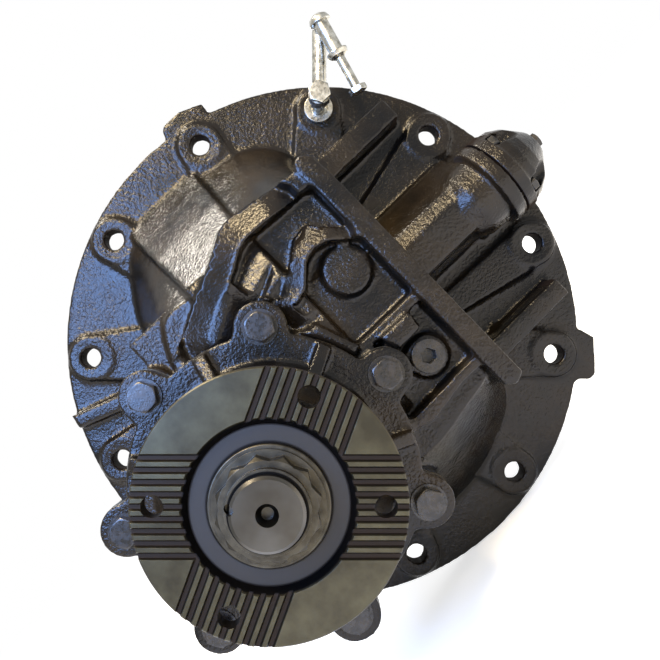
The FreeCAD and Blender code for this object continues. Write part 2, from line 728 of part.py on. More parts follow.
def bearing_cage(bore_r, outer_r, width, rollers):
    """The pressed cage: a thin cone with a window for each roller."""
    mean_r = bore_r + (outer_r - bore_r) * 0.52
    radius = (outer_r - bore_r) * 0.21
    length = width * 0.62
    slope = math.tan(math.radians(13.0))
    x0 = width * 0.5 - length / 2 - 3.0
    x1 = width * 0.5 + length / 2 + 3.0
    r0 = mean_r + (x0 - width * 0.5) * slope + 1.0
    r1 = mean_r + (x1 - width * 0.5) * slope + 1.0
    shell = x_turned([(x0, r0), (x1, r1), (x1, r1 + 1.6), (x0, r0 + 1.6)], Vector(0, 0, 0))
    window = taper_roller(mean_r, radius + 0.3, length + 0.8, width * 0.5,
                          math.radians(13.0), math.radians(2.0))
    return shell.cut(joined(around(window, rollers, Vector(0, 0, 0), X)))


def placed_bearing(bore_r, outer_r, width, rollers, placement):
    cup, cone, pieces = taper_bearing(bore_r, outer_r, width, rollers)
    shapes = [cup, cone, Part.makeCompound(pieces + [bearing_cage(bore_r, outer_r, width, rollers)])]
    for shape in shapes:
        shape.Placement = placement.multiply(shape.Placement)
    return shapes


def on_pinion(y, towards_front):
    """Places a bearing on the pinion with its small end forward or rearward."""
    angle = -90.0 if towards_front else 90.0
    rotation = FreeCAD.Rotation(Z, angle)
    return FreeCAD.Placement(Vector(PINION_X, y, PINION_Z), rotation)


def on_case(side):
    """Places a side bearing on its trunnion, large end towards the case."""
    x = CASE_X + side * (CASE_HALF_L + 1 + SIDE_BRG_W)
    rotation = FreeCAD.Rotation(Z, 0.0 if side < 0 else 180.0)
    return FreeCAD.Placement(Vector(x, AXLE_Y, 0), rotation)


def oil_seal():
    y0 = OUTER_BRG_Y - OUTER_BRG_W - 1.5
    y1 = y0 - SEAL_W
    lip = COMP_HUB_R + RUN_GAP
    return y_turned([(y0, SEAL_R), (y1, SEAL_R), (y1, lip + 4), (y1 + 2, lip), (y1 + 4, lip),
                     (y1 + 4, lip + 5), (y0 - 2, SEAL_R - 4), (y0, SEAL_R - 4)])


# Pinion shaft

def pinion_radius(y):
    return PINION_MEAN_R + (PINION_MEAN_Y - y) * math.tan(math.radians(PINION_CONE))


def pinion_tooth():
    """One spiral tooth: sections across the pinion from its small to its large end."""
    wires = []
    count = 8
    for i in range(count + 1):
        y = PINION_END_Y + (PINION_FRONT_Y - PINION_END_Y) * i / count
        s = PINION_MEAN_Y - y
        centre = PINION_PHASE + PINION_TWIST * s + PINION_TWIST_CURVE * s * s
        pitch = pinion_radius(y)
        grow = 1.0 + 0.010 * s
        root = pitch - PINION_DED - 2.0
        tip = pitch + PINION_ADD * grow
        half_tip = PINION_TIP_HALF * grow
        half_root = PINION_ROOT_HALF * grow
        corners = [(root, centre - half_root), (tip, centre + PINION_LEAN * PINION_ADD - half_tip),
                   (tip, centre + PINION_LEAN * PINION_ADD + half_tip), (root, centre + half_root)]
        points = [Vector(PINION_X + r * math.cos(math.radians(a)), y,
                         PINION_Z - r * math.sin(math.radians(a)))
                  for r, a in corners]
        wires.append(Part.makePolygon(points + [points[0]]))
    return Part.makeLoft(wires, True, True)


PINION_TIP_HALF = 2.2
PINION_ROOT_HALF = 4.6


def drive_pinion():
    root_front = pinion_radius(PINION_FRONT_Y) - PINION_DED
    root_end = pinion_radius(PINION_END_Y) - PINION_DED
    back = INNER_BRG_Y + 1
    inner_end = INNER_BRG_Y - INNER_BRG_W
    comp_back = COMP_FACE_Y + COMP_T
    seat = COMP_FACE_Y + COMP_RECESS_D - 1
    profile = [
        (SPIGOT_BRG_Y, 0), (SPIGOT_BRG_Y, SPIGOT_BRG_BORE_R), (PINION_END_Y + 3, SPIGOT_BRG_BORE_R),
        (PINION_END_Y + 3, root_end - 8), (PINION_END_Y, root_end), (PINION_FRONT_Y, root_front),
        (back, root_front - 8), (back, INNER_BRG_BORE_R + 8), (INNER_BRG_Y, INNER_BRG_BORE_R + 8),
        (INNER_BRG_Y, INNER_BRG_BORE_R), (inner_end - 3, INNER_BRG_BORE_R),
        (inner_end - 3, OUTER_BRG_BORE_R), (OUTER_BRG_Y - OUTER_BRG_W, OUTER_BRG_BORE_R),
        (OUTER_BRG_Y - OUTER_BRG_W, SPLINE_R),
        (seat, SPLINE_R), (seat, THREAD_R), (SHAFT_END_Y + 2, THREAD_R),
        (SHAFT_END_Y, THREAD_R - 2), (SHAFT_END_Y, 0)]
    shaft = y_turned(profile)
    teeth = around(pinion_tooth(), PINION_TEETH, PINION, Y)
    body = joined([shaft] + teeth)
    centre = y_rod(CENTRE_HOLE_R * 0.55, SHAFT_END_Y - 1, SHAFT_END_Y + 14, PINION_X, PINION_Z)
    mouth = Part.makeCone(CENTRE_HOLE_R, CENTRE_HOLE_R * 0.5, 8, Vector(PINION_X, SHAFT_END_Y, PINION_Z), Y)
    x, z = polar(THREAD_R, 130.0)
    slot = y_rod(3.2, SHAFT_END_Y - 1, COMP_FACE_Y - NUT_H, PINION_X + x, PINION_Z + z)
    return body.cut(joined([centre, mouth, slot]))


def companion_flange():
    back = COMP_FACE_Y + COMP_T
    floor = COMP_FACE_Y + COMP_RECESS_D
    hub_end = OUTER_BRG_Y - OUTER_BRG_W
    profile = [(hub_end, SPLINE_R), (hub_end, COMP_HUB_R), (back + 3, COMP_HUB_R), (back, COMP_HUB_R + 4),
               (back, COMP_R - 1), (back - 1, COMP_R), (COMP_FACE_Y + 1, COMP_R), (COMP_FACE_Y, COMP_R - 1),
               (COMP_FACE_Y, COMP_RECESS_R + 1.5), (COMP_FACE_Y + 1.5, COMP_RECESS_R),
               (floor, COMP_RECESS_R - 3), (floor, SPLINE_R)]
    disc = y_turned(profile)
    cuts = []
    for angle in COMP_HOLE_ANGLES:
        x, z = polar(COMP_HOLE_CIRCLE_R, angle)
        cuts.append(y_rod(COMP_HOLE_R, COMP_FACE_Y - 1, back + 1, PINION_X + x, PINION_Z + z))
    for direction in COMP_HOLE_ANGLES[:2]:
        cuts += serrations(direction)
    return disc.cut(joined(cuts))


def serrations(direction):
    """Parallel grooves across the face, side by side about one bolt diameter."""
    y = COMP_FACE_Y
    profile = [(GROOVE_TOP / 2 + 0.5, y - 0.6), (GROOVE_FLOOR / 2, y + GROOVE_D),
               (-GROOVE_FLOOR / 2, y + GROOVE_D), (-GROOVE_TOP / 2 - 0.5, y - 0.6)]
    reach = COMP_R + 5
    grooves = []
    for side in (1, -1):
        start = math.sqrt(COMP_RECESS_R**2 - (GROOVE_PITCH * GROOVES / 2)**2) - 4
        groove = face_of([Vector(start * side, py, pz) for pz, py in profile])
        groove = groove.extrude(Vector((reach - start) * side, 0, 0))
        for i in range(GROOVES):
            offset = (i - (GROOVES - 1) / 2) * GROOVE_PITCH
            copy = moved(groove, PINION + Vector(0, 0, offset))
            grooves.append(turned(copy, -direction, PINION, Y))
    return grooves


def flange_washer():
    floor = COMP_FACE_Y + COMP_RECESS_D
    return y_turned([(floor, SPLINE_R), (floor, WASHER_R), (floor - WASHER_T + 1, WASHER_R),
                     (floor - WASHER_T, WASHER_R - 1), (floor - WASHER_T, THREAD_R), (floor - 1, THREAD_R),
                     (floor - 1, SPLINE_R)])


def pinion_nut():
    """A twelve-point nut with a thin collar that is staked into the shaft's slot."""
    y0 = COMP_FACE_Y + COMP_RECESS_D - WASHER_T
    y1 = y0 - NUT_H
    centre = (PINION_X, PINION_Z)
    points = [face_of(hexagon(centre, NUT_AF, y1, spin)).extrude(Vector(0, NUT_H, 0)) for spin in (0, 30)]
    body = joined(points)
    round_off = Part.makeCone(NUT_AF * 0.53, NUT_AF * 0.53 + NUT_H, NUT_H, Vector(PINION_X, y1, PINION_Z), Y)
    collar = y_rod(NUT_COLLAR_R, y1 - NUT_COLLAR_H, y1, PINION_X, PINION_Z)
    base = y_rod(NUT_AF * 0.62, y0 - 3, y0, PINION_X, PINION_Z)
    nut = joined([body.common(round_off), collar, base])
    x, z = polar(THREAD_R, 130.0)
    cuts = [y_rod(THREAD_R, y1 - NUT_COLLAR_H - 1, y0 + 1, PINION_X, PINION_Z),
            y_rod(3.2, y1 - NUT_COLLAR_H - 1, y1, PINION_X + x, PINION_Z + z)]
    return nut.cut(joined(cuts))


def bearing_spacer():
    y0 = INNER_BRG_Y - INNER_BRG_W - 3
    return y_tube(OUTER_BRG_BORE_R + 7, OUTER_BRG_BORE_R, OUTER_BRG_Y, y0, PINION_X, PINION_Z)


def spigot_bearing():
    y0 = SPIGOT_BRG_Y - SPIGOT_BRG_W
    y1 = SPIGOT_BRG_Y
    ring = 5.0
    outer = y_tube(SPIGOT_BRG_R, SPIGOT_BRG_R - ring, y0, y1, PINION_X, PINION_Z)
    radius = (SPIGOT_BRG_R - ring - SPIGOT_BRG_BORE_R) / 2
    centre_r = SPIGOT_BRG_BORE_R + radius
    corners = [polar(radius - SHAFT_GAP, 360.0 * i / ROLLER_SIDES) for i in range(ROLLER_SIDES)]
    roller = y_prism([(PINION_X + centre_r + x, PINION_Z + z) for x, z in corners], y0 + 2, y1 - 2)
    rollers = around(roller, 18, PINION, Y)
    return outer, rollers


# Ring gear and differential case

def ring_tooth():
    """One spiral tooth: sections square to the radius from its toe to its heel."""
    wires = []
    count = 6
    for i in range(count + 1):
        r = RING_IN_R + (RING_R - RING_IN_R) * i / count
        spiral = math.tan(math.radians(RING_SPIRAL)) / math.sin(math.radians(RING_CONE))
        angle = spiral * math.log(r / RING_MEAN_R)
        pitch_x = RING_PITCH_X + (r - RING_MEAN_R) / math.tan(math.radians(RING_CONE))
        tip_x = pitch_x - RING_ADD
        root_x = pitch_x + RING_DED
        half_tip = RING_TIP_HALF * r / RING_MEAN_R
        half_root = RING_ROOT_HALF * r / RING_MEAN_R
        slope = (half_root - half_tip) / (RING_ADD + RING_DED)
        half_deep = half_root + slope
        corners = [(root_x + 1, -half_deep), (tip_x, -half_tip), (tip_x, half_tip), (root_x + 1, half_deep)]
        radial = Vector(0, -math.cos(angle), -math.sin(angle))
        across = Vector(0, math.sin(angle), -math.cos(angle))
        points = [AXLE + radial * r + across * t + X * x for x, t in corners]
        wires.append(Part.makePolygon(points + [points[0]]))
    return Part.makeLoft(wires, True, True)


def ring_gear():
    def root_x(r):
        return RING_PITCH_X + (r - RING_MEAN_R) / math.tan(math.radians(RING_CONE)) + RING_DED

    blank = x_turned([
        (RING_BACK_X, RING_BORE_R), (root_x(RING_IN_R) + 4, RING_BORE_R), (root_x(RING_IN_R), RING_IN_R - 4),
        (root_x(RING_IN_R), RING_IN_R), (root_x(RING_R), RING_R), (RING_BACK_X - 6, RING_R),
        (RING_BACK_X, RING_R - 4)])
    gear = joined([blank] + around(ring_tooth(), RING_TEETH))
    hole = x_rod(RING_BOLT_R, RING_BACK_X - 20, RING_BACK_X + 1, AXLE + Vector(0, 0, RING_BOLT_CIRCLE_R))
    return gear.cut(joined(around(hole, RING_BOLTS)))


def ring_gear_bolts():
    seat = RING_BACK_X + CASE_FLANGE_T
    bolt = x_bolt((AXLE_Y, RING_BOLT_CIRCLE_R), seat, 21.0, 9.0, RING_BOLT_R, CASE_FLANGE_T + 16, 1)
    return around(bolt, RING_BOLTS)


def case_cavity():
    """The hollow for the bevel gears: a ball for the spider gears, bored for the side gears."""
    ball = Part.makeSphere(CASE_CAVITY_R, Vector(CASE_X, AXLE_Y, 0))
    reach = SIDE_BACK_X + THRUST_T + 0.5
    slab = box(CASE_X - reach, CASE_X + reach, AXLE_Y - 100, AXLE_Y + 100, -100, 100)
    side_bore = x_rod(BEVEL_SIDE_TEETH * BEVEL_MODULE / 2 + 5, CASE_X - reach, CASE_X + reach)
    return joined([ball.common(slab), side_bore])


def cross_arms(radius, reach):
    arm = Part.makeCylinder(radius, 2 * reach, Vector(CASE_X, AXLE_Y, -reach), Z)
    return joined([arm, turned(arm, 90)])


def case_half(side):
    """Side -1 is the plain half, side 1 carries the ring gear."""
    x_split = CASE_X
    x_end = CASE_X + side * CASE_HALF_L
    bearing_end = x_end + side * (1 + SIDE_BRG_W)
    profile = [(x_split, 0), (x_split, CASE_R), (x_split + side * (CASE_HALF_L - 24), CASE_R),
               (x_end, TRUNNION_R + 12), (x_end, TRUNNION_R + 9), (x_end + side * 1, TRUNNION_R + 9),
               (x_end + side * 1, TRUNNION_R), (bearing_end, TRUNNION_R), (bearing_end, 0)]
    body = x_turned(profile)
    web = x_rod(CASE_WEB_R, x_split, x_split + side * CASE_WEB_T)
    parts = [body, web]
    if side > 0:
        parts.append(x_rod(RING_BORE_R - SHAFT_GAP, x_split, RING_BACK_X))
        parts.append(x_rod(CASE_FLANGE_R, RING_BACK_X, RING_BACK_X + CASE_FLANGE_T))
        dog_end = CASE_X + CASE_HALF_L + 1 + SIDE_BRG_W + ADJUSTER_W + 2 + DOG_L
        parts.append(x_rod(DOG_ROOT_R, bearing_end - 1, dog_end))
        tooth = dog_tooth(DOG_ROOT_R - 1, DOG_TIP_R, dog_end - DOG_L, dog_end)
        parts += around(tooth, DOG_TEETH)
    cuts = [case_cavity(), cross_arms(CROSS_R, CASE_R + 10)]
    cuts.append(x_rod(TRUNNION_BORE_R, x_split, x_split + side * 200))
    hole_r = CASE_BOLT_R
    bolt_hole = x_rod(hole_r, CASE_X - 30, CASE_X + 14, AXLE + Vector(0, 0, CASE_BOLT_CIRCLE_R))
    cuts += around(bolt_hole, CASE_BOLTS, start=15.0)
    if side > 0:
        hole = x_rod(RING_BOLT_R, RING_BACK_X - 1, RING_BACK_X + CASE_FLANGE_T + 1,
                     AXLE + Vector(0, 0, RING_BOLT_CIRCLE_R))
        cuts += around(hole, RING_BOLTS)
    solids = sorted(joined(parts).cut(joined(cuts)).Solids, key=lambda s: s.Volume)
    return solids[-1]


def dog_tooth(r0, r1, x0, x1):
    half = 360.0 / DOG_TEETH * 0.22
    a = [polar(r0, 90 - half), polar(r1, 90 - half), polar(r1, 90 + half), polar(r0, 90 + half)]
    return x_prism([(AXLE_Y + y, z) for y, z in a], x0, x1)


def case_bolts():
    seat = CASE_X - CASE_WEB_T
    bolt = x_bolt((AXLE_Y, CASE_BOLT_CIRCLE_R), seat, 16.0, 7.0, CASE_BOLT_R, CASE_WEB_T + 13, -1)
    return around(bolt, CASE_BOLTS, start=15.0)


def bevel_gear(teeth, mate, back, bore_r):
    """A straight bevel gear about +X with its apex at the origin, opening towards +X."""
    cone = math.atan2(teeth, mate)
    cone_l = BEVEL_MODULE / 2 * math.hypot(teeth, mate)
    inner = 1.0 - BEVEL_FACE / cone_l

    def at(height, scale):
        r = (cone_l * math.sin(cone) + height * math.cos(cone)) * scale
        x = (cone_l * math.cos(cone) - height * math.sin(cone)) * scale
        return x, r

    root_out = at(-BEVEL_DED, 1.0)
    root_in = at(-BEVEL_DED, inner)
    blank = x_turned([(root_in[0], bore_r), root_in, root_out,
                      (back, root_out[1] - (back - root_out[0]) * 0.35), (back, bore_r)], Vector(0, 0, 0))
    pitch = math.pi * BEVEL_MODULE
    half_root = pitch * 0.27
    half_tip = pitch * 0.11
    wires = []
    for scale in (1.0, inner):
        low = at(-BEVEL_DED - 1, scale)
        high = at(BEVEL_ADD, scale)
        points = [Vector(low[0], -half_root * scale, low[1]), Vector(high[0], -half_tip * scale, high[1]),
                  Vector(high[0], half_tip * scale, high[1]), Vector(low[0], half_root * scale, low[1])]
        wires.append(Part.makePolygon(points + [points[0]]))
    tooth = Part.makeLoft(wires, True, True)
    return blank, tooth


def side_gear(side):
    blank, tooth = bevel_gear(BEVEL_SIDE_TEETH, BEVEL_SPIDER_TEETH, SIDE_BACK_X, SIDE_BORE_R)
    origin = Vector(0, 0, 0)
    start = 180.0 / BEVEL_SIDE_TEETH
    hub = x_tube(TRUNNION_BORE_R - RUN_GAP, SIDE_BORE_R, SIDE_BACK_X - 2, SIDE_BACK_X + SIDE_HUB_L, origin)
    gear = joined([blank, hub] + around(tooth, BEVEL_SIDE_TEETH, origin, X, start))
    groove = box(0, SIDE_BACK_X + SIDE_HUB_L + 1, -2.2, 2.2, SIDE_BORE_R - 1, SIDE_BORE_R + 2.6)
    gear = gear.cut(joined(around(groove, 16, origin, X)))
    if side < 0:
        gear.rotate(origin, Z, 180)
    gear.translate(Vector(CASE_X, AXLE_Y, 0))
    return gear


def spider_gear(index):
    blank, tooth = bevel_gear(BEVEL_SPIDER_TEETH, BEVEL_SIDE_TEETH, 71.0, CROSS_R + SHAFT_GAP)
    origin = Vector(0, 0, 0)
    gear = joined([blank] + around(tooth, BEVEL_SPIDER_TEETH, origin, X))
    ball = Part.makeSphere(CASE_CAVITY_R - THRUST_T - RUN_GAP)
    gear = gear.common(ball)
    gear.rotate(origin, Y, -90)
    gear.rotate(origin, X, 90.0 * index)
    gear.translate(Vector(CASE_X, AXLE_Y, 0))
    return gear


def spider_cross():
    arms = cross_arms(CROSS_R, CASE_R)
    hub = x_rod(CROSS_HUB_R, CASE_X - 14, CASE_X + 14)
    hole = x_rod(10.0, CASE_X - 20, CASE_X + 20)
    return joined([arms, hub]).cut(hole)


def side_thrust_washers():
    washers = []
    for side in (-1, 1):
        x0 = CASE_X + side * (SIDE_BACK_X + 0.4)
        washers.append(x_tube(56.0, TRUNNION_BORE_R + 0.5, x0, x0 + side * THRUST_T))
    return washers


def spider_thrust_washers():
    outer = Part.makeSphere(CASE_CAVITY_R - SHAFT_GAP)
    inner = Part.makeSphere(CASE_CAVITY_R - THRUST_T)
    ring = Part.makeCylinder(27.0, 100, Vector(0, 0, 0), Z)
    ring = ring.cut(Part.makeCylinder(CROSS_R + 0.2, 100, Vector(0, 0, 0), Z))
    cup = outer.common(ring).cut(inner)
    cup.translate(Vector(CASE_X, AXLE_Y, 0))
    return around(cup, 4)


# Side bearing seats

def side_span(side):
    """Where the bearing starts and ends and where the adjusting ring ends."""
    start = CASE_X + side * (CASE_HALF_L + 1)
    return start, start + side * SIDE_BRG_W, start + side * (SIDE_BRG_W + ADJUSTER_W)


def cap_bolt_xs():
    centres = []
    for side in (-1, 1):
        start, _, end = side_span(side)
        centres.append((start + end) / 2)
    return centres


def bearing_cap(side):
    start, bearing_end, end = side_span(side)
    x0, x1 = min(start, end), max(start, end)
    arch = x_rod(CAP_R, x0, x1)
    feet = box(x0, x1, AXLE_Y, AXLE_Y + CAP_FOOT_H, -PEDESTAL_HALF_Z, PEDESTAL_HALF_Z)
    body = joined([arch, feet]).common(box(x0, x1, AXLE_Y, AXLE_Y + CAP_R + 1, -200, 200))
    cuts = [x_rod(SIDE_BRG_R, start - side, bearing_end), x_rod(ADJUSTER_R, bearing_end, end + side)]
    centre_x = (x0 + x1) / 2
    cuts.append(x_rod(M8_R, end - side * 22, end + side, AXLE + Y * LOCK_BOLT_REACH))
    for z in (-CAP_BOLT_Z, CAP_BOLT_Z):
        cuts.append(y_rod(CAP_BOLT_R + 0.5, AXLE_Y - 1, AXLE_Y + CAP_R, centre_x, z))
        cuts.append(y_rod(CAP_BOLT_AF * 0.6, AXLE_Y + CAP_FOOT_H, AXLE_Y + CAP_R, centre_x, z))
    return body.cut(joined(cuts))


def cap_bolts():
    bolts = []
    for x in cap_bolt_xs():
        for z in (-CAP_BOLT_Z, CAP_BOLT_Z):
            bolt = y_bolt((0, 0), 0, CAP_BOLT_AF, CAP_BOLT_HEAD_H, CAP_BOLT_R, CAP_FOOT_H + 44)
            bolt.rotate(Vector(0, 0, 0), Z, 180)
            bolt.translate(Vector(x, AXLE_Y + CAP_FOOT_H, z))
            bolts.append(bolt)
    return bolts


def adjusting_ring(side):
    _, bearing_end, end = side_span(side)
    ring = x_tube(ADJUSTER_R, ADJUSTER_BORE_R, bearing_end, end)
    depth = 5.0
    notch = box(0, depth + 1, -4.5, 4.5, ADJUSTER_BORE_R - 1, ADJUSTER_BORE_R + 9)
    notch.translate(Vector(end - depth if side > 0 else end - 1, AXLE_Y, 0))
    return ring.cut(joined(around(notch, ADJUSTER_NOTCHES, start=-90.0)))


def adjuster_locks():
    """A bent plate on each cap whose tab sits in one notch of the ring."""
    plates = []
    bolts = []
    for side in (-1, 1):
        _, _, end = side_span(side)
        y_tab = AXLE_Y + ADJUSTER_BORE_R + 4.5
        plate = box(0, LOCK_PLATE_T, y_tab - 4, AXLE_Y + CAP_R - 3, -9, 9)
        tab = box(-4, 1, y_tab - 4, y_tab + 4, -4.2, 4.2)
        shape = joined([plate, tab])
        hole = x_rod(M8_R, -1, LOCK_PLATE_T + 1, AXLE + Y * LOCK_BOLT_REACH)
        shape = shape.cut(hole)
        if side < 0:
            shape = shape.mirror(Vector(0, 0, 0), X)
        shape.translate(Vector(end, 0, 0))
        plates.append(shape)
        bolts.append(m8_bolt((AXLE_Y + LOCK_BOLT_REACH, 0), end + side * LOCK_PLATE_T, side))
    return plates, bolts


# Differential lock

def lock_collar():
    x0 = COLLAR_X
    x1 = COLLAR_X + COLLAR_L
    groove_x = x0 + GROOVE_OFFSET
    body = x_rod(COLLAR_R, x0, x1)
    cuts = [x_tube(COLLAR_R + 1, GROOVE_R, groove_x, groove_x + FORK_T + 2 * RUN_GAP),
            x_rod(DOG_TIP_R + 0.5, x0 - 1, x0 + DOG_L), x_rod(SIDE_BORE_R, x0, x1 + 1)]
    groove = box(x0, x1 + 1, -2.2, 2.2, SIDE_BORE_R - 1, SIDE_BORE_R + 2.6)
    groove.translate(Vector(0, AXLE_Y, 0))
    cuts += around(groove, 16)
    body = body.cut(joined(cuts))
    half = 360.0 / DOG_TEETH * 0.22
    a = [polar(DOG_ROOT_R + 0.5, 90 - half), polar(DOG_TIP_R + 1.5, 90 - half),
         polar(DOG_TIP_R + 1.5, 90 + half), polar(DOG_ROOT_R + 0.5, 90 + half)]
    tooth = x_prism([(AXLE_Y + y, z) for y, z in a], x0, x0 + DOG_L)
    teeth = around(tooth, DOG_TEETH, start=180.0 / DOG_TEETH)
    return joined([body] + teeth)


def shift_fork():
    x0 = COLLAR_X + GROOVE_OFFSET + RUN_GAP
    plate = x_prism([
        (SHIFT_Y, -12), (-9, -12), (-7, -38), (8, -52), (AXLE_Y, -60), (AXLE_Y + 8, -58), (AXLE_Y + 8, 58),
        (AXLE_Y, 60), (8, 52), (-7, 38), (-9, 12), (SHIFT_Y, 12)], x0, x0 + FORK_T)
    hub = x_rod(16.0, x0 - 8, x0 + FORK_T + 8, SHIFT)
    body = joined([plate, hub])
    cuts = [x_rod(GROOVE_R + RUN_GAP, x0 - 1, x0 + FORK_T + 1),
            box(x0 - 1, x0 + FORK_T + 1, AXLE_Y, AXLE_Y + 20, -GROOVE_R - RUN_GAP, GROOVE_R + RUN_GAP),
            x_rod(SHIFT_R, x0 - 20, x0 + 40, SHIFT)]
    return body.cut(joined(cuts))


def shift_shaft():
    shaft = x_rod(SHIFT_R, 86, PISTON_X + PISTON_T, SHIFT)
    neck = x_tube(SHIFT_R + 1, 6.0, PISTON_X, PISTON_X + PISTON_T + 1, SHIFT)
    return shaft.cut(neck)


def lock_piston():
    piston = x_tube(PISTON_R - SHAFT_GAP, 6.0, PISTON_X, PISTON_X + PISTON_T, SHIFT)
    groove = x_tube(PISTON_R + 1, PISTON_R - 3.0, PISTON_X + 4, PISTON_X + 8, SHIFT)
    return piston.cut(groove)


def piston_ring():
    return x_tube(PISTON_R - SHAFT_GAP, PISTON_R - 3.0, PISTON_X + 4, PISTON_X + 8, SHIFT)


def return_spring():
    """The coil as short straight lengths of six-sided wire."""
    x0 = SPRING_SEAT_X + SPRING_WIRE_R + 0.3
    length = PISTON_X - SPRING_WIRE_R - 0.3 - x0
    steps = int(SPRING_TURNS * SPRING_STEPS)
    wires = []
    for i in range(steps + 1):
        angle = 2 * math.pi * i / SPRING_STEPS
        out = Vector(0, math.cos(angle), math.sin(angle))
        centre = SHIFT + X * (x0 + length * i / steps) + out * SPRING_R
        ring = []
        for k in range(6):
            u, v = polar(SPRING_WIRE_R, 60.0 * k)
            ring.append(centre + out * u + X * v)
        wires.append(Part.makePolygon(ring + [ring[0]]))
    return Part.makeLoft(wires, True, True)


def cover_bolt_centres():
    corners = [polar(COVER_BOLT_R, 45.0 + 90.0 * i) for i in range(4)]
    return [(SHIFT_Y + y, SHIFT_Z + z) for y, z in corners]


def lock_cover():
    x0 = COVER_X
    outer = x_turned([(x0, 0), (x0, COVER_R), (x0 + 10, COVER_R), (x0 + 12, COVER_R - 2),
                      (x0 + 19, COVER_R - 3), (x0 + 29, 30), (x0 + 38, 20),
                      (COVER_END_X, 13), (COVER_END_X, 0)], SHIFT)
    cuts = [x_rod(PISTON_R, x0 - 1, x0 + 8.5, SHIFT), x_rod(M8_R, x0, COVER_END_X + 1, SHIFT)]
    for y, z in cover_bolt_centres():
        cuts.append(x_rod(M8_R + 0.3, x0 - 1, x0 + 14, Vector(0, y, z)))
        cuts.append(x_rod(8.2, x0 + 10, x0 + 40, Vector(0, y, z)))
    return outer.cut(joined(cuts))


def m8_bolt(centre, head_x, side):
    return x_bolt(centre, head_x, 13.0, 5.5, M8_R, 20, side)


def cover_bolts():
    bolts = [m8_bolt(c, COVER_X + 10, 1) for c in cover_bolt_centres()]
    return bolts + [m8_bolt((SHIFT_Y, SHIFT_Z), COVER_END_X, 1)]


# Plug and lifting hardware

def fill_plug():
    x, z, _ = PLUG_BOSS
    face = DOME_TOP_Y - 14
    body = joined([y_rod(10.0, face, face + 20, x, z), y_rod(13.5, face - 5, face, x, z)])
    socket = face_of(hexagon((x, z), 11.0, face - 6)).extrude(Vector(0, 13, 0))
    return body.cut(socket)


HOIST_AF = 17.0
HOIST_SHANK_R = 5.0
HOIST_HEAD_Y = -78.0
LINK_R = 6.2
LINK_TILT = 44.0
CROSS_BOLT_R = 4.0


def hoist_centre():
    return polar(HOLE_CIRCLE_R, HOLE_ANGLES[1])


def hoist_bush():
    x, z = hoist_centre()
    face = -FLANGE_T - BOSS_RISE + SPOT_FACE_D
    body = joined([y_rod(13.0, face - 7, face, x, z), y_rod(HOLE_R - SHAFT_GAP, face, -1, x, z)])
    return body.cut(joined([y_rod(HOIST_SHANK_R, face - 8, 0, x, z), y_rod(8.2, face - 8, face - 2, x, z)]))


def hoist_bolt():
    length = -1 - HOIST_HEAD_Y
    return y_bolt(hoist_centre(), HOIST_HEAD_Y, HOIST_AF, 7.0, HOIST_SHANK_R, length)


def hoist_lock_nut():
    x, z = hoist_centre()
    y0 = HOIST_HEAD_Y + 2 * LINK_R
    nut = face_of(hexagon((x, z), HOIST_AF, y0)).extrude(Vector(0, 8, 0))
    return nut.cut(y_rod(HOIST_SHANK_R, y0 - 1, y0 + 9, x, z))


def link_direction():
    return Vector(math.sin(math.radians(LINK_TILT)), 0, math.cos(math.radians(LINK_TILT)))


def cross_axis():
    """The cross bolt's axis: down and to the lock side, in front of the link."""
    start = Vector(187.5, HOIST_HEAD_Y - 4.5, 201.0)
    end = Vector(170.5, HOIST_HEAD_Y - 4.5, 136.5)
    return start, (end - start).normalize(), (end - start).Length


def hoist_link():
    """A rod with an eye on the hoist bolt and a cross tube welded to its end."""
    x, z = hoist_centre()
    eye_y = HOIST_HEAD_Y + LINK_R
    eye = y_rod(9.4, HOIST_HEAD_Y, HOIST_HEAD_Y + 2 * LINK_R, x, z)
    start = Vector(x, eye_y, z)
    rod = Part.makeCylinder(LINK_R, 55.0, start, link_direction())
    top, axis, _ = cross_axis()
    tube = Part.makeCylinder(LINK_R + 0.2, 28.0, top + axis * 4.0, axis)
    hole = Part.makeCylinder(CROSS_BOLT_R, 60.0, top - axis * 10.0, axis)
    body = joined([eye, rod, tube])
    return body.cut(joined([hole, y_rod(HOIST_SHANK_R, HOIST_HEAD_Y - 1, HOIST_HEAD_Y + 20, x, z)]))


def dome(centre, axis, radius, height):
    """A domed nut whose flat side is at the centre and whose crown points along the axis."""
    profile = [(0, 0), (0, radius), (height * 0.2, radius), (height * 0.62, radius * 0.86),
               (height * 0.9, radius * 0.5), (height, 0)]
    nut = x_turned(profile, Vector(0, 0, 0))
    nut.Placement = FreeCAD.Placement(centre, FreeCAD.Rotation(X, axis))
    return nut


def cross_bolt():
    top, axis, length = cross_axis()
    shank = Part.makeCylinder(CROSS_BOLT_R, length, top, axis)
    head = y_bolt((0, 0), 0, 14.0, 5.0, CROSS_BOLT_R, 1.0)
    seat = FreeCAD.Placement(top + axis * length, FreeCAD.Rotation(Y, -axis))
    head.Placement = seat.multiply(head.Placement)
    return joined([shank, head])


def dome_nuts():
    """Domed nuts that clamp the cross tube."""
    top, axis, _ = cross_axis()
    hole = Part.makeCylinder(CROSS_BOLT_R, 80.0, top, axis)
    upper = dome(top + axis * 4.0, -axis, 9.5, 8.0)
    lower = dome(top + axis * 32.0, axis, 9.5, 7.0)
    return [upper.cut(hole), lower.cut(hole)]


# Nodes

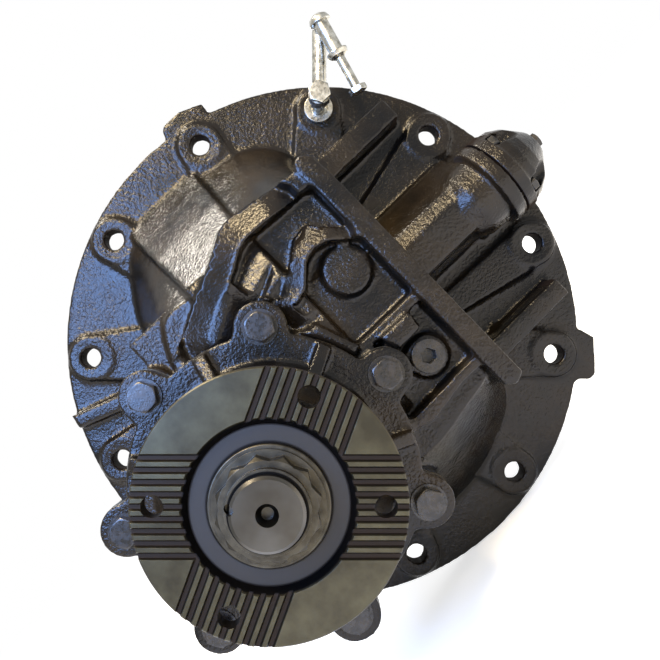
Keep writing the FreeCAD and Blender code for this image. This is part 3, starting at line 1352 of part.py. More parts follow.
def build_nodes():
    nodes = {}
    nodes["carrier_housing"] = carrier_housing()
    nodes["pinion_cage"] = pinion_cage()
    nodes["cage_shim"] = cage_shim()
    nodes["cage_bolts"] = cage_bolts()
    nodes["fill_plug"] = fill_plug()
    inner = placed_bearing(INNER_BRG_BORE_R, INNER_BRG_R, INNER_BRG_W, 16,
                           on_pinion(INNER_BRG_Y - INNER_BRG_W, False))
    nodes["inner_bearing_cup"], nodes["inner_bearing_cone"], nodes["inner_bearing_rollers"] = inner
    outer = placed_bearing(OUTER_BRG_BORE_R, OUTER_BRG_R, OUTER_BRG_W, 16, on_pinion(OUTER_BRG_Y, True))
    nodes["outer_bearing_cup"], nodes["outer_bearing_cone"], nodes["outer_bearing_rollers"] = outer
    spigot = spigot_bearing()
    nodes["spigot_bearing_ring"], nodes["spigot_bearing_rollers"] = spigot
    nodes["oil_seal"] = oil_seal()
    nodes["drive_pinion"] = drive_pinion()
    nodes["companion_flange"] = companion_flange()
    nodes["flange_washer"] = flange_washer()
    nodes["pinion_nut"] = pinion_nut()
    nodes["bearing_spacer"] = bearing_spacer()
    nodes["ring_gear"] = ring_gear()
    nodes["ring_gear_bolts"] = ring_gear_bolts()
    nodes["case_plain_half"] = case_half(-1)
    nodes["case_flange_half"] = case_half(1)
    nodes["case_bolts"] = case_bolts()
    nodes["spider_cross"] = spider_cross()
    nodes["side_thrust_washers"] = side_thrust_washers()
    nodes["spider_thrust_washers"] = spider_thrust_washers()
    nodes["left_side_gear"] = side_gear(-1)
    nodes["right_side_gear"] = side_gear(1)
    for index in range(4):
        nodes["spider_gear_%d" % (index + 1)] = spider_gear(index)
    for name, side in (("left", -1), ("right", 1)):
        bearing = placed_bearing(TRUNNION_R, SIDE_BRG_R, SIDE_BRG_W, 20, on_case(side))
        for piece, shape in zip(("cup", "cone", "rollers"), bearing):
            nodes[name + "_bearing_" + piece] = shape
        nodes[name + "_bearing_cap"] = bearing_cap(side)
        nodes[name + "_adjusting_ring"] = adjusting_ring(side)
    nodes["cap_bolts"] = cap_bolts()
    nodes["adjuster_locks"], adjuster_bolts = adjuster_locks()
    nodes["lock_collar"] = lock_collar()
    nodes["shift_fork"] = shift_fork()
    nodes["shift_shaft"] = shift_shaft()
    nodes["lock_piston"] = lock_piston()
    nodes["piston_ring"] = piston_ring()
    nodes["return_spring"] = return_spring()
    nodes["lock_cover"] = lock_cover()
    nodes["m8_bolts"] = cover_bolts() + adjuster_bolts
    nodes["hoist_bush"] = hoist_bush()
    nodes["hoist_bolt"] = hoist_bolt()
    nodes["hoist_lock_nut"] = hoist_lock_nut()
    nodes["hoist_link"] = hoist_link()
    nodes["cross_bolt"] = cross_bolt()
    nodes["dome_nuts"] = dome_nuts()
    return nodes


def write_nodes(nodes):
    os.makedirs("parts", exist_ok=True)
    for name, shape in nodes.items():
        if isinstance(shape, list):
            shape = Part.makeCompound(shape)
        shape.exportStep("parts/%s.step" % name)


write_nodes(build_nodes())
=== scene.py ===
import json
import math

import bmesh
import bpy
import numpy as np
from mathutils import Matrix, Vector


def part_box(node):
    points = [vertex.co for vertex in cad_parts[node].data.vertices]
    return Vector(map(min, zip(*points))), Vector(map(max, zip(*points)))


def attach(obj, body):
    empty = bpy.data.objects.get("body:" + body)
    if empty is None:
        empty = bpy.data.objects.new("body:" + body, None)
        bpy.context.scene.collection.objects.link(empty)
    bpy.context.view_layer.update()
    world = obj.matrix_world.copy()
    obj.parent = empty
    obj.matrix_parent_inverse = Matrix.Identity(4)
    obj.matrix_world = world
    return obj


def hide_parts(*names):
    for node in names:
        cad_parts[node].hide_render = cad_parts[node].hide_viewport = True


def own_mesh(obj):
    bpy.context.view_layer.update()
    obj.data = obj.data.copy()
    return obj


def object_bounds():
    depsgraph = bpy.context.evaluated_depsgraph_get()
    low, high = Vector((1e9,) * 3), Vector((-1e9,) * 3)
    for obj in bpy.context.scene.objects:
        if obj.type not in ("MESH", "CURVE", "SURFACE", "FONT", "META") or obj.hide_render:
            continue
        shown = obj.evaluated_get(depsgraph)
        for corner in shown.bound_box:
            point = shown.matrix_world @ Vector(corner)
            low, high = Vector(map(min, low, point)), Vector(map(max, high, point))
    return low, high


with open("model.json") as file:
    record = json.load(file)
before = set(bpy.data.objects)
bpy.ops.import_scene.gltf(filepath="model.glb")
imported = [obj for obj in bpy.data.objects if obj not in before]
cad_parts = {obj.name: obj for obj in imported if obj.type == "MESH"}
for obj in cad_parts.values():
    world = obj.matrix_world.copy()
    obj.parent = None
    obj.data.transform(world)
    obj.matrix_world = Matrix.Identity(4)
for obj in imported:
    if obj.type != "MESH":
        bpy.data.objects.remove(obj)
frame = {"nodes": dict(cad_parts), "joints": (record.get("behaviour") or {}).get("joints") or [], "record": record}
cad_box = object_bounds()

MM = 0.001

# The photograph's camera: 660 pixels square, rolled, looking along the pinion.
PHOTO_PX = 660.0
FOCAL_PX = 862.0
VIEW_CENTRE_PX = (305.0, 340.0)
CAMERA_AT_MM = (-10.3, -815.0, 12.3)
CAMERA_ROLL_DEG = 44.0
SENSOR_MM = 36.0
NEAREST_SEEN_MM = 20.0

# Holes through the carrier flange: the circle that they lie on, and their radius.
HOLE_CIRCLE_MM = 213.0
HOLE_MM = 8.75

# Radii round the pinion: the companion flange's recess and its floor, the washer and the nut's collar.
RECESS_MM = 56.0
RECESS_FLOOR_MM = 52.0
WASHER_MM = 40.5
COLLAR_MM = 25.8

# The hump over the ring gear was cast smoother than the rest: its middle, and how far that reaches.
HUMP_MM = (-15.0, -104.0, 128.0)
HUMP_SMOOTH_MM = 66.0
HUMP_ROUGH_MM = 80.0
HUMP_SHARE = 0.55

# Ribs that lean: the inner edge in X and Z, the width, the front in Y, and how far it falls back.
ROOF_CREST = [(-60.0, 62.0), (-24.5, 83.0), (-13.5, 88.0), (1.0, 97.0), (12.0, 100.0), (36.0, 98.5)]
ARCH_CREST = [(56.0, 55.0), (44.0, 58.0), (33.0, 55.0), (18.0, 40.0), (4.0, 36.0)]
LEANING_RIBS = [(ROOF_CREST, 27.0, -150.5, 12.5), (ARCH_CREST, 20.0, -152.5, 10.0)]

# Blocks that join the housing, by the corners of their front, in X, Y and Z. This one fills the
# corner between the roof rib, the gusset and the pad of the pinion cage.
GUSSET_FILLING = [
    (-98.0, -148.5, 72.0), (-50.0, -148.5, 88.0), (-24.0, -148.5, 84.0), (-22.0, -148.5, 66.0),
    (-50.0, -148.5, 48.0), (-98.0, -148.5, 50.0)]
BLOCK_BACK_MM = -112.0

# The room round the shift shaft in its bore through the housing.
BORE_ROOM_MM = 0.6

# Castings: each step of rounding, the waves of the sand mould and their depth, and the share of
# the skin's faces that is kept.
FILLET_STEP = 0.5
MOULD_WAVE_MM = 14.0
MOULD_DEPTH_MM = 0.5
FACES_KEPT = 0.5

# Broken edges: the angle from which an edge is broken, and what counts as one plane or one point.
SHARP_EDGE_DEG = 28.0
SAME_PLANE_DEG = 1.0
SAME_POINT_MM = 0.002
BEVEL_STEPS = 2

# The set: the floor's reach, the light that lifts it to white, and the world's fill light.
FLOOR_REACH_M = 12.0
FLOOR_LIFT = 0.62
WORLD_FILL = 0.75


def linear(hex_colour):
    """An sRGB hex colour as a linear RGBA tuple."""
    channels = [int(hex_colour[i:i + 2], 16) / 255.0 for i in (1, 3, 5)]
    light = [c / 12.92 if c <= 0.04045 else ((c + 0.055) / 1.055) ** 2.4 for c in channels]
    return (*light, 1.0)


def add(tree, kind, settings=None, **inputs):
    """One shader node. An input is a value, a node, or a node with the name of its output."""
    node = tree.nodes.new("ShaderNode" + kind)
    for name, value in (settings or {}).items():
        setattr(node, name, value)
    for name, value in inputs.items():
        wanted = name.replace("_", " ")
        socket = [s for s in node.inputs if s.enabled and s.name == wanted][0]
        if isinstance(value, tuple) and isinstance(value[0], bpy.types.Node):
            tree.links.new(value[0].outputs[value[1]], socket)
        elif isinstance(value, bpy.types.Node):
            tree.links.new([s for s in value.outputs if s.enabled][0], socket)
        else:
            socket.default_value = value
    return node


def new_material(name):
    """A material, its empty node tree, and the object's own coordinates in millimetres."""
    material = bpy.data.materials.new(name)
    material.use_nodes = True
    tree = material.node_tree
    tree.nodes.clear()
    coords = add(tree, "TexCoord")
    place = add(tree, "VectorMath", {"operation": "SCALE"}, Vector=(coords, "Object"), Scale=1 / MM)
    return material, tree, place


def finish_material(material, tree, shader):
    add(tree, "OutputMaterial", Surface=shader)
    return material


COLOUR = {"data_type": "RGBA"}
CLAMPED = {"clamp": True}


def distance_from_axis(tree, place):
    """Distance from the axis that runs fore and aft through the origin of this place."""
    flat = add(tree, "VectorMath", {"operation": "MULTIPLY"}, Vector=place)
    flat.inputs[1].default_value = (1.0, 0.0, 1.0)
    return add(tree, "VectorMath", {"operation": "LENGTH"}, Vector=flat), "Value"


def from_pinion_axis(tree, place):
    """The place counted from the pinion's axis."""
    low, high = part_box("companion_flange")
    centre = (low + high) / 2 / MM
    centred = add(tree, "VectorMath", {"operation": "SUBTRACT"}, Vector=place)
    centred.inputs[1].default_value = (centre.x, 0.0, centre.z)
    return centred


def turned_forward(tree):
    """How far a face is turned to the front or the back: 1 square on, 0 edge on."""
    coords = add(tree, "TexCoord")
    facing = add(tree, "SeparateXYZ", Vector=(coords, "Normal"))
    return add(tree, "Math", {"operation": "ABSOLUTE"}, Value=(facing, "Y"))


def times(tree, one, other):
    """The product of two nodes' numbers."""
    both = add(tree, "Math", {"operation": "MULTIPLY"}, Value=one)
    tree.links.new(other.outputs[0], both.inputs[1])
    return both


def bolt_hole_wall(tree, place):
    """1 on the walls of the flange's drilled holes: on their circle, and facing sideways."""
    off_circle = add(tree, "Math", {"operation": "SUBTRACT"}, Value=distance_from_axis(tree, place))
    off_circle.inputs[1].default_value = HOLE_CIRCLE_MM
    off_circle = add(tree, "Math", {"operation": "ABSOLUTE"}, Value=off_circle)
    near = add(tree, "MapRange", CLAMPED, Value=off_circle, From_Min=HOLE_MM + 0.85,
               From_Max=HOLE_MM + 0.05)
    sideways = add(tree, "MapRange", CLAMPED, Value=turned_forward(tree), From_Min=0.6, From_Max=0.35)
    return times(tree, near, sideways)


def painted_cast_iron():
    """Grey iron cast in green sand under one thin coat of black gloss enamel.

    The sand leaves a pebbled skin that breaks every reflection into small sparks, and
    the enamel looks black where it is thick and brown where it is thin. The grains of the
    sand are about 0.4 mm, too fine to show, so the pebbles are drawn 2.6 and 1 mm across.
    """
    material, tree, place = new_material("painted_cast_iron")
    sweep = add(tree, "TexNoise", Vector=place, Scale=1 / 70.0, Detail=3.0, Roughness=0.6)
    patch = add(tree, "MapRange", CLAMPED, Value=sweep, From_Min=0.4, From_Max=0.62)
    colour = add(tree, "Mix", COLOUR, Factor=patch, A=linear("#0b0a09"), B=linear("#1e1810"))
    run = add(tree, "TexNoise", Vector=place, Scale=1 / 9.0, Detail=3.0, Roughness=0.6)
    gloss = add(tree, "MapRange", CLAMPED, Value=run, From_Min=0.35, From_Max=0.7, To_Min=0.12,
                To_Max=0.24)
    pebbles = add(tree, "TexNoise", Vector=place, Scale=1 / 2.6, Detail=2.0, Roughness=0.55)
    depth = add(tree, "MapRange", CLAMPED, Value=sweep, From_Min=0.36, From_Max=0.6, To_Min=0.3,
                To_Max=0.8)
    from_hump = add(tree, "VectorMath", {"operation": "DISTANCE"}, Vector=place)
    from_hump.inputs[1].default_value = HUMP_MM
    smoother = add(tree, "MapRange", CLAMPED, Value=(from_hump, "Value"), From_Min=HUMP_SMOOTH_MM,
                   From_Max=HUMP_ROUGH_MM, To_Min=HUMP_SHARE, To_Max=1.0)
    skin = add(tree, "Bump", Strength=times(tree, depth, smoother), Distance=1.05 * MM, Height=pebbles)
    grit = add(tree, "TexNoise", Vector=place, Scale=1 / 1.0, Detail=2.0, Roughness=0.6)
    fine = add(tree, "Bump", Strength=0.3, Distance=0.3 * MM, Height=grit, Normal=skin)
    enamel = add(tree, "BsdfPrincipled", Base_Color=colour, Roughness=gloss, IOR=1.31, Normal=fine)
    # Painted shade: the walls of the flange's holes are dark, rough and hardly reflect, standing in for the shade
    # inside the bores.
    painted_shade_bores = add(tree, "BsdfPrincipled", Base_Color=linear("#1a1410"), Roughness=0.9, IOR=1.12)
    mix = add(tree, "MixShader", Fac=bolt_hole_wall(tree, place), Shader=enamel)
    tree.links.new(painted_shade_bores.outputs[0], mix.inputs[2])
    return finish_material(material, tree, mix)


def oiled_cast_iron():
    """Bare grey iron inside the axle: sand-cast, partly machined, brown with gear oil."""
    material, tree, place = new_material("oiled_cast_iron")
    film = add(tree, "TexNoise", Vector=place, Scale=1 / 30.0, Detail=4.0, Roughness=0.6)
    stain = add(tree, "MapRange", CLAMPED, Value=film, From_Min=0.36, From_Max=0.66)
    colour = add(tree, "Mix", COLOUR, Factor=stain, A=linear("#5b554c"), B=linear("#3a332a"))
    pebbles = add(tree, "TexNoise", Vector=place, Scale=1 / 3.0, Detail=2.0, Roughness=0.5)
    skin = add(tree, "Bump", Strength=0.35, Distance=0.7 * MM, Height=pebbles)
    iron = add(tree, "BsdfPrincipled", Base_Color=colour, Metallic=0.7, Roughness=0.42, Normal=skin)
    return finish_material(material, tree, iron)


def milled_oiled_steel():
    """Forged steel, turned and milled, and darker wherever it is set back behind its face.

    The lands stay bare and grey-brown and the grooves are nearly black. The outer corner of the
    recess is nearly black and a thin ring just outside the washer is dark, both painted shade, and
    the turned floor of the recess is a dull blue grey. The tool marks are about 0.2 mm apart, and
    are drawn 0.9 mm apart so that they show.
    """
    material, tree, place = new_material("milled_oiled_steel")
    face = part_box("companion_flange")[0].y / MM
    stain = add(tree, "TexNoise", Vector=place, Scale=1 / 24.0, Detail=4.0, Roughness=0.62)
    mottle = add(tree, "MapRange", CLAMPED, Value=stain, From_Min=0.36, From_Max=0.66)
    bare = add(tree, "Mix", COLOUR, Factor=mottle, A=linear("#434032"), B=linear("#322f25"))
    radius = distance_from_axis(tree, from_pinion_axis(tree, place))
    axes = add(tree, "SeparateXYZ", Vector=place)
    # Darker where the surface is set back behind the face of the flange.
    sunk = add(tree, "MapRange", CLAMPED, Value=(axes, "Y"), From_Min=face + 0.4, From_Max=face + 1.8)
    darkened_colour = add(tree, "Mix", COLOUR, Factor=sunk, A=bare, B=linear("#221c17"))
    # Painted shade: the outer corner of the recess is painted nearly black.
    edge = add(tree, "MapRange", CLAMPED, Value=radius, From_Min=RECESS_MM + 0.6, From_Max=RECESS_MM)
    painted_shade_ring = add(tree, "Mix", COLOUR, Factor=edge, A=darkened_colour, B=linear("#0d0b0a"))
    inner = add(tree, "MapRange", CLAMPED, Value=radius, From_Min=RECESS_FLOOR_MM + 0.5,
                From_Max=RECESS_FLOOR_MM - 0.5)
    floor = add(tree, "Mix", COLOUR, Factor=inner, A=painted_shade_ring, B=linear("#31302f"))
    # Painted shade: a dark ring on the recess floor just outside the washer, where the two meet.
    corner = add(tree, "MapRange", CLAMPED, Value=radius, From_Min=WASHER_MM + 1.8,
                 From_Max=WASHER_MM + 0.6)
    colour = add(tree, "Mix", COLOUR, Factor=corner, A=floor, B=linear("#12100e"))
    rough = add(tree, "MapRange", CLAMPED, Value=sunk, To_Min=0.36, To_Max=0.5)
    grain = add(tree, "TexNoise", Vector=place, Scale=1 / 0.9, Detail=2.0)
    marks = add(tree, "Bump", Strength=0.2, Distance=0.12 * MM, Height=grain)
    steel = add(tree, "BsdfPrincipled", Base_Color=colour, Metallic=0.9, Roughness=rough, Normal=marks)
    return finish_material(material, tree, steel)


def machined_steel():
    """Turned and milled steel, grey-brown with oil and handling, its fine marks drawn 0.8 mm apart."""
    material, tree, place = new_material("machined_steel")
    stain = add(tree, "TexNoise", Vector=place, Scale=1 / 22.0, Detail=4.0, Roughness=0.62)
    mottle = add(tree, "MapRange", CLAMPED, Value=stain, From_Min=0.36, From_Max=0.66)
    colour = add(tree, "Mix", COLOUR, Factor=mottle, A=linear("#534d3f"), B=linear("#3a342a"))
    wear = add(tree, "TexNoise", Vector=place, Scale=1 / 4.0, Detail=3.0, Roughness=0.6)
    rough = add(tree, "MapRange", CLAMPED, Value=wear, From_Min=0.3, From_Max=0.7, To_Min=0.3,
                To_Max=0.5)
    grain = add(tree, "TexNoise", Vector=place, Scale=1 / 0.8, Detail=2.0)
    marks = add(tree, "Bump", Strength=0.15, Distance=0.15 * MM, Height=grain)
    steel = add(tree, "BsdfPrincipled", Base_Color=colour, Metallic=0.9, Roughness=rough, Normal=marks)
    return finish_material(material, tree, steel)


def hobbed_nut_steel():
    """Turned and hobbed steel of the pinion nut: bare faces, and painted shade darkening its flanks.

    A black line of painted shade also fills the gap between the shaft and the nut's collar. The
    tool marks are drawn 0.8 mm apart so that they show.
    """
    material, tree, place = new_material("hobbed_nut_steel")
    stain = add(tree, "TexNoise", Vector=place, Scale=1 / 12.0, Detail=4.0, Roughness=0.62)
    mottle = add(tree, "MapRange", CLAMPED, Value=stain, From_Min=0.36, From_Max=0.66)
    bare = add(tree, "Mix", COLOUR, Factor=mottle, A=linear("#48443a"), B=linear("#302d26"))
    # Painted shade: faces that turn sideways, away from the front and back, are painted darker.
    painted_shade_flank = add(tree, "MapRange", CLAMPED, Value=turned_forward(tree), From_Min=0.75, From_Max=0.4)
    darkened_colour = add(tree, "Mix", COLOUR, Factor=painted_shade_flank, A=bare, B=linear("#1c1915"))
    radius = distance_from_axis(tree, from_pinion_axis(tree, place))
    # Painted shade: a black ring in the gap between the shaft and the nut's collar.
    corner = add(tree, "MapRange", CLAMPED, Value=radius, From_Min=COLLAR_MM + 0.2,
                 From_Max=COLLAR_MM - 0.3)
    colour = add(tree, "Mix", COLOUR, Factor=corner, A=darkened_colour, B=linear("#080706"))
    grain = add(tree, "TexNoise", Vector=place, Scale=1 / 0.8, Detail=2.0)
    marks = add(tree, "Bump", Strength=0.15, Distance=0.15 * MM, Height=grain)
    steel = add(tree, "BsdfPrincipled", Base_Color=colour, Metallic=0.9, Roughness=0.38, Normal=marks)
    return finish_material(material, tree, steel)


def gear_steel():
    """Case-hardened gear steel, cut and lapped, with a film of oil.

    The lapping marks are drawn 0.9 mm apart so that they show.
    """
    material, tree, place = new_material("gear_steel")
    film = add(tree, "TexNoise", Vector=place, Scale=1 / 30.0, Detail=3.0)
    tint = add(tree, "MapRange", CLAMPED, Value=film, From_Min=0.35, From_Max=0.7)
    colour = add(tree, "Mix", COLOUR, Factor=tint, A=linear("#51504d"), B=linear("#3e3b35"))
    grain = add(tree, "TexNoise", Vector=place, Scale=1 / 0.9, Detail=2.0)
    marks = add(tree, "Bump", Strength=0.12, Distance=0.1 * MM, Height=grain)
    steel = add(tree, "BsdfPrincipled", Base_Color=colour, Metallic=1.0, Roughness=0.3, Normal=marks)
    return finish_material(material, tree, steel)


def bearing_steel():
    """Ground bearing steel: bright, with hardly any grain."""
    material, tree, place = new_material("bearing_steel")
    film = add(tree, "TexNoise", Vector=place, Scale=1 / 25.0, Detail=2.0)
    colour = add(tree, "Mix", COLOUR, Factor=film, A=linear("#a3a4a8"), B=linear("#86868a"))
    steel = add(tree, "BsdfPrincipled", Base_Color=colour, Metallic=1.0, Roughness=0.2)
    return finish_material(material, tree, steel)


def painted_bolt_steel():
    """Forged bolts under the same black coat, rubbed brown by the wrench."""
    material, tree, place = new_material("painted_bolt_steel")
    rub = add(tree, "TexNoise", Vector=place, Scale=1 / 8.0, Detail=3.0)
    worn = add(tree, "MapRange", CLAMPED, Value=rub, From_Min=0.42, From_Max=0.66)
    colour = add(tree, "Mix", COLOUR, Factor=worn, A=linear("#0e0d0c"), B=linear("#241f19"))
    patch = add(tree, "TexNoise", Vector=place, Scale=1 / 3.0, Detail=3.0)
    rough = add(tree, "MapRange", CLAMPED, Value=patch, From_Min=0.35, From_Max=0.7, To_Min=0.2,
                To_Max=0.42)
    scale = add(tree, "TexNoise", Vector=place, Scale=1 / 1.6, Detail=2.0)
    dents = add(tree, "Bump", Strength=0.3, Distance=0.3 * MM, Height=scale)
    steel = add(tree, "BsdfPrincipled", Base_Color=colour, Metallic=0.15, Roughness=rough, Normal=dents)
    return finish_material(material, tree, steel)


def zinc_plate():
    """Zinc-plated steel: pale and slightly warm, dulled by handling."""
    material, tree, place = new_material("zinc_plate")
    spangle = add(tree, "TexNoise", Vector=place, Scale=1 / 6.0, Detail=3.0)
    dull = add(tree, "MapRange", CLAMPED, Value=spangle, From_Min=0.35, From_Max=0.7)
    colour = add(tree, "Mix", COLOUR, Factor=dull, A=linear("#b9b8b0"), B=linear("#7d7a70"))
    haze = add(tree, "TexNoise", Vector=place, Scale=1 / 2.5, Detail=2.0)
    rough = add(tree, "MapRange", CLAMPED, Value=haze, From_Min=0.3, From_Max=0.7, To_Min=0.2,
                To_Max=0.38)
    zinc = add(tree, "BsdfPrincipled", Base_Color=colour, Metallic=1.0, Roughness=rough)
    return finish_material(material, tree, zinc)


def turned_aluminium():
    """Turned aluminium alloy, pale and evenly dull."""
    material, tree, place = new_material("turned_aluminium")
    film = add(tree, "TexNoise", Vector=place, Scale=1 / 12.0, Detail=2.0)
    colour = add(tree, "Mix", COLOUR, Factor=film, A=linear("#b9babb"), B=linear("#a2a3a5"))
    alloy = add(tree, "BsdfPrincipled", Base_Color=colour, Metallic=1.0, Roughness=0.34)
    return finish_material(material, tree, alloy)


def nitrile_rubber():
    """Moulded nitrile rubber: matt black with a faint bloom."""
    material, tree, place = new_material("nitrile_rubber")
    bloom = add(tree, "TexNoise", Vector=place, Scale=1 / 10.0, Detail=2.0)
    colour = add(tree, "Mix", COLOUR, Factor=bloom, A=linear("#1b1b1b"), B=linear("#262625"))
    rubber = add(tree, "BsdfPrincipled", Base_Color=colour, Roughness=0.62)
    return finish_material(material, tree, rubber)


# The finish of each material slot, and of the nodes that look unlike the rest of their slot.
SLOT_FINISHES = {
    "cast_iron": painted_cast_iron, "machined_steel": machined_steel, "gear_steel": gear_steel,
    "bearing_steel": bearing_steel, "bolt_steel": painted_bolt_steel, "zinc_plate": zinc_plate,
    "piston_alloy": turned_aluminium, "seal_rubber": nitrile_rubber}
OWN_FINISHES = {
    "left_bearing_cap": oiled_cast_iron, "right_bearing_cap": oiled_cast_iron,
    "case_plain_half": oiled_cast_iron, "case_flange_half": oiled_cast_iron,
    "cap_bolts": machined_steel, "ring_gear_bolts": machined_steel, "case_bolts": machined_steel,
    "companion_flange": milled_oiled_steel, "pinion_nut": hobbed_nut_steel,
    "flange_washer": hobbed_nut_steel}


def node_slots():
    return {part["node"]: part["material_slot"] for part in frame["record"]["subparts"]}


def node_bodies():
    bodies = frame["record"]["behaviour"]["bodies"]
    return {node: body for body, nodes in bodies.items() for node in nodes}


def dress_nodes():
    """Every node takes its own finish, or else the finish of its slot."""
    made = {}
    dressed = {}
    for node, slot in node_slots().items():
        finish = OWN_FINISHES.get(node, SLOT_FINISHES[slot])
        if finish not in made:
            made[finish] = finish()
        dressed[node] = made[finish]
        materials = frame["nodes"][node].data.materials
        materials.clear()
        materials.append(made[finish])
    return dressed


def joint_named(name):
    return next(joint for joint in frame["joints"] if joint["name"] == name)


def shift_travel():
    """How far the lock's shaft slides, in metres."""
    return joint_named("lock_shift")["range_m"][1]


def copy_of(node, suffix):
    """A new object with its own copy of the node's mesh."""
    piece = bpy.data.objects.new(node + suffix, frame["nodes"][node].data.copy())
    bpy.context.collection.objects.link(piece)
    return piece


def bake(piece):
    """The piece's modifiers become its mesh."""
    graph = bpy.context.evaluated_depsgraph_get()
    mesh = bpy.data.meshes.new_from_object(piece.evaluated_get(graph))
    piece.modifiers.clear()
    piece.data = mesh


def stand_for(piece, node):
    """The piece takes the node's place, body and finish."""
    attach(piece, BODY_OF[node])
    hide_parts(node)
    piece.data.materials.clear()
    piece.data.materials.append(FINISH_OF[node])


def add_block(mesh, front):
    """The closed block between these corners and the plane behind them, all in millimetres."""
    corners = [mesh.verts.new(Vector(corner) * MM) for corner in front]
    corners += [mesh.verts.new(Vector((x, BLOCK_BACK_MM, z)) * MM) for x, y, z in front]
    bmesh.ops.convex_hull(mesh, input=corners)


def distance_to_line(points, line):
    """Distance in X and Z from each point to a line of straight runs."""
    best = np.full(len(points), np.inf)
    for a, b in zip(line[:-1], line[1:]):
        a, b = np.array(a), np.array(b)
        along = b - a
        share = np.clip(((points - a) @ along) / (along @ along), 0.0, 1.0)
        best = np.minimum(best, np.linalg.norm(points - a - share[:, None] * along, axis=1))
    return best


def points_of(mesh):
    """The mesh's points as an array, in millimetres."""
    flat = np.empty(3 * len(mesh.vertices))
    mesh.vertices.foreach_get("co", flat)
    return flat.reshape(-1, 3) / MM


def move_points(mesh, coords):
    mesh.vertices.foreach_set("co", (coords * MM).ravel())
    mesh.update()


def open_bore(mesh, shaft):
    """The bore of this sliding shaft, reamed out after casting: the skin keeps clear of it."""
    low, high = (np.array(corner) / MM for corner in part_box(shaft))
    centre = (low + high)[1:] / 2
    bore = (high - low)[2] / 2 + BORE_ROOM_MM
    coords = points_of(mesh)
    spokes = coords[:, 1:] - centre
    reach = np.linalg.norm(spokes, axis=1)
    along = coords[:, 0]
    inside = (reach < bore) & (along > low[0] - shift_travel() / MM) & (along < high[0])
    coords[inside, 1:] = centre + spokes[inside] * (bore / reach[inside])[:, None]
    move_points(mesh, coords)


def lean_ribs(mesh):
    """The front of a rib slopes back from its inner edge, as the pattern draws out of the sand."""
    coords = points_of(mesh)
    for crest, width, front, fall in LEANING_RIBS:
        low = np.min(crest, axis=0) - width
        high = np.max(crest, axis=0) + width
        plan = coords[:, [0, 2]]
        near = (coords[:, 1] < front + fall) & np.all((plan > low) & (plan < high), axis=1)
        reach = distance_to_line(plan[near], crest)
        slope = np.where(reach < width, front + fall * reach / width, -np.inf)
        coords[near, 1] = np.maximum(coords[near, 1], slope)
    move_points(mesh, coords)


def cast_piece(node, grain_mm, rounding, blocks):
    """A casting with filleted corners and the slight waves of a sand mould.

    Blocks are joined to it first. Only the housing has them, and only its ribs lean.
    """
    piece = copy_of(node, "_casting")
    mesh = bmesh.new()
    mesh.from_mesh(piece.data)
    for front in blocks:
        add_block(mesh, front)
    mesh.to_mesh(piece.data)
    mesh.free()
    skin = piece.modifiers.new("skin", "REMESH")
    skin.mode = "VOXEL"
    skin.voxel_size = grain_mm * MM
    bake(piece)
    if blocks:
        lean_ribs(piece.data)
    fillet = piece.modifiers.new("fillet", "SMOOTH")
    fillet.factor = FILLET_STEP
    fillet.iterations = rounding
    waves = bpy.data.textures.new(node + "_waves", "CLOUDS")
    waves.noise_scale = MOULD_WAVE_MM * MM
    mould = piece.modifiers.new("mould", "DISPLACE")
    mould.texture = waves
    mould.strength = MOULD_DEPTH_MM * MM
    mould.mid_level = 1.0  # the waves only go inwards, so the casting stays within its solid
    fewer = piece.modifiers.new("fewer", "DECIMATE")
    fewer.ratio = FACES_KEPT
    bake(piece)
    if blocks:
        open_bore(piece.data, "shift_shaft")
    piece.data.shade_smooth()
    stand_for(piece, node)


def closing_spring():
    """The coil spring: a copy of its node with a mesh of its own."""
    piece = copy_of("return_spring", "_coil")
    stand_for(piece, "return_spring")
    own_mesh(piece)


def eased_piece(node, ease_mm):
    """A machined or forged piece whose edges are broken by a small bevel."""
    piece = copy_of(node, "_eased")
    mesh = bmesh.new()
    mesh.from_mesh(piece.data)
    bmesh.ops.remove_doubles(mesh, verts=mesh.verts, dist=SAME_POINT_MM * MM)
    flat = math.radians(SAME_PLANE_DEG)
    bmesh.ops.dissolve_limit(mesh, angle_limit=flat, verts=mesh.verts, edges=mesh.edges)
    mesh.to_mesh(piece.data)
    mesh.free()
    piece.data.shade_smooth()
    edge = piece.modifiers.new("edge", "BEVEL")
    edge.width = ease_mm * MM
    edge.segments = BEVEL_STEPS
    edge.limit_method = "ANGLE"
    edge.angle_limit = math.radians(SHARP_EDGE_DEG)
    flats = piece.modifiers.new("flats", "WEIGHTED_NORMAL")
    flats.mode = "FACE_AREA"
    bake(piece)
    stand_for(piece, node)


# Each casting's grain in millimetres, the steps that round its corners, and the blocks it takes in.
CASTINGS = {
    "carrier_housing": (1.8, 6, [GUSSET_FILLING]), "pinion_cage": (1.5, 4, ()),
    "lock_cover": (1.0, 4, ())}

# How far each turned or forged node's edges are broken, in millimetres.
EASED = {
    "companion_flange": 0.35, "pinion_nut": 0.6, "flange_washer": 0.4, "cage_bolts": 0.5,
    "m8_bolts": 0.3,
    "fill_plug": 0.5, "hoist_bush": 0.4, "hoist_bolt": 0.4, "hoist_lock_nut": 0.4, "hoist_link": 0.4,
    "cross_bolt": 0.3, "dome_nuts": 0.3, "cap_bolts": 0.8, "ring_gear_bolts": 0.5, "case_bolts": 0.4,
    "left_bearing_cap": 1.2, "right_bearing_cap": 1.2, "left_adjusting_ring": 0.5,
    "right_adjusting_ring": 0.5, "adjuster_locks": 0.3}


def make_pieces():
    for node, (grain_mm, rounding, blocks) in CASTINGS.items():
        cast_piece(node, grain_mm, rounding, blocks)
    for node, ease_mm in EASED.items():
        eased_piece(node, ease_mm)
    closing_spring()


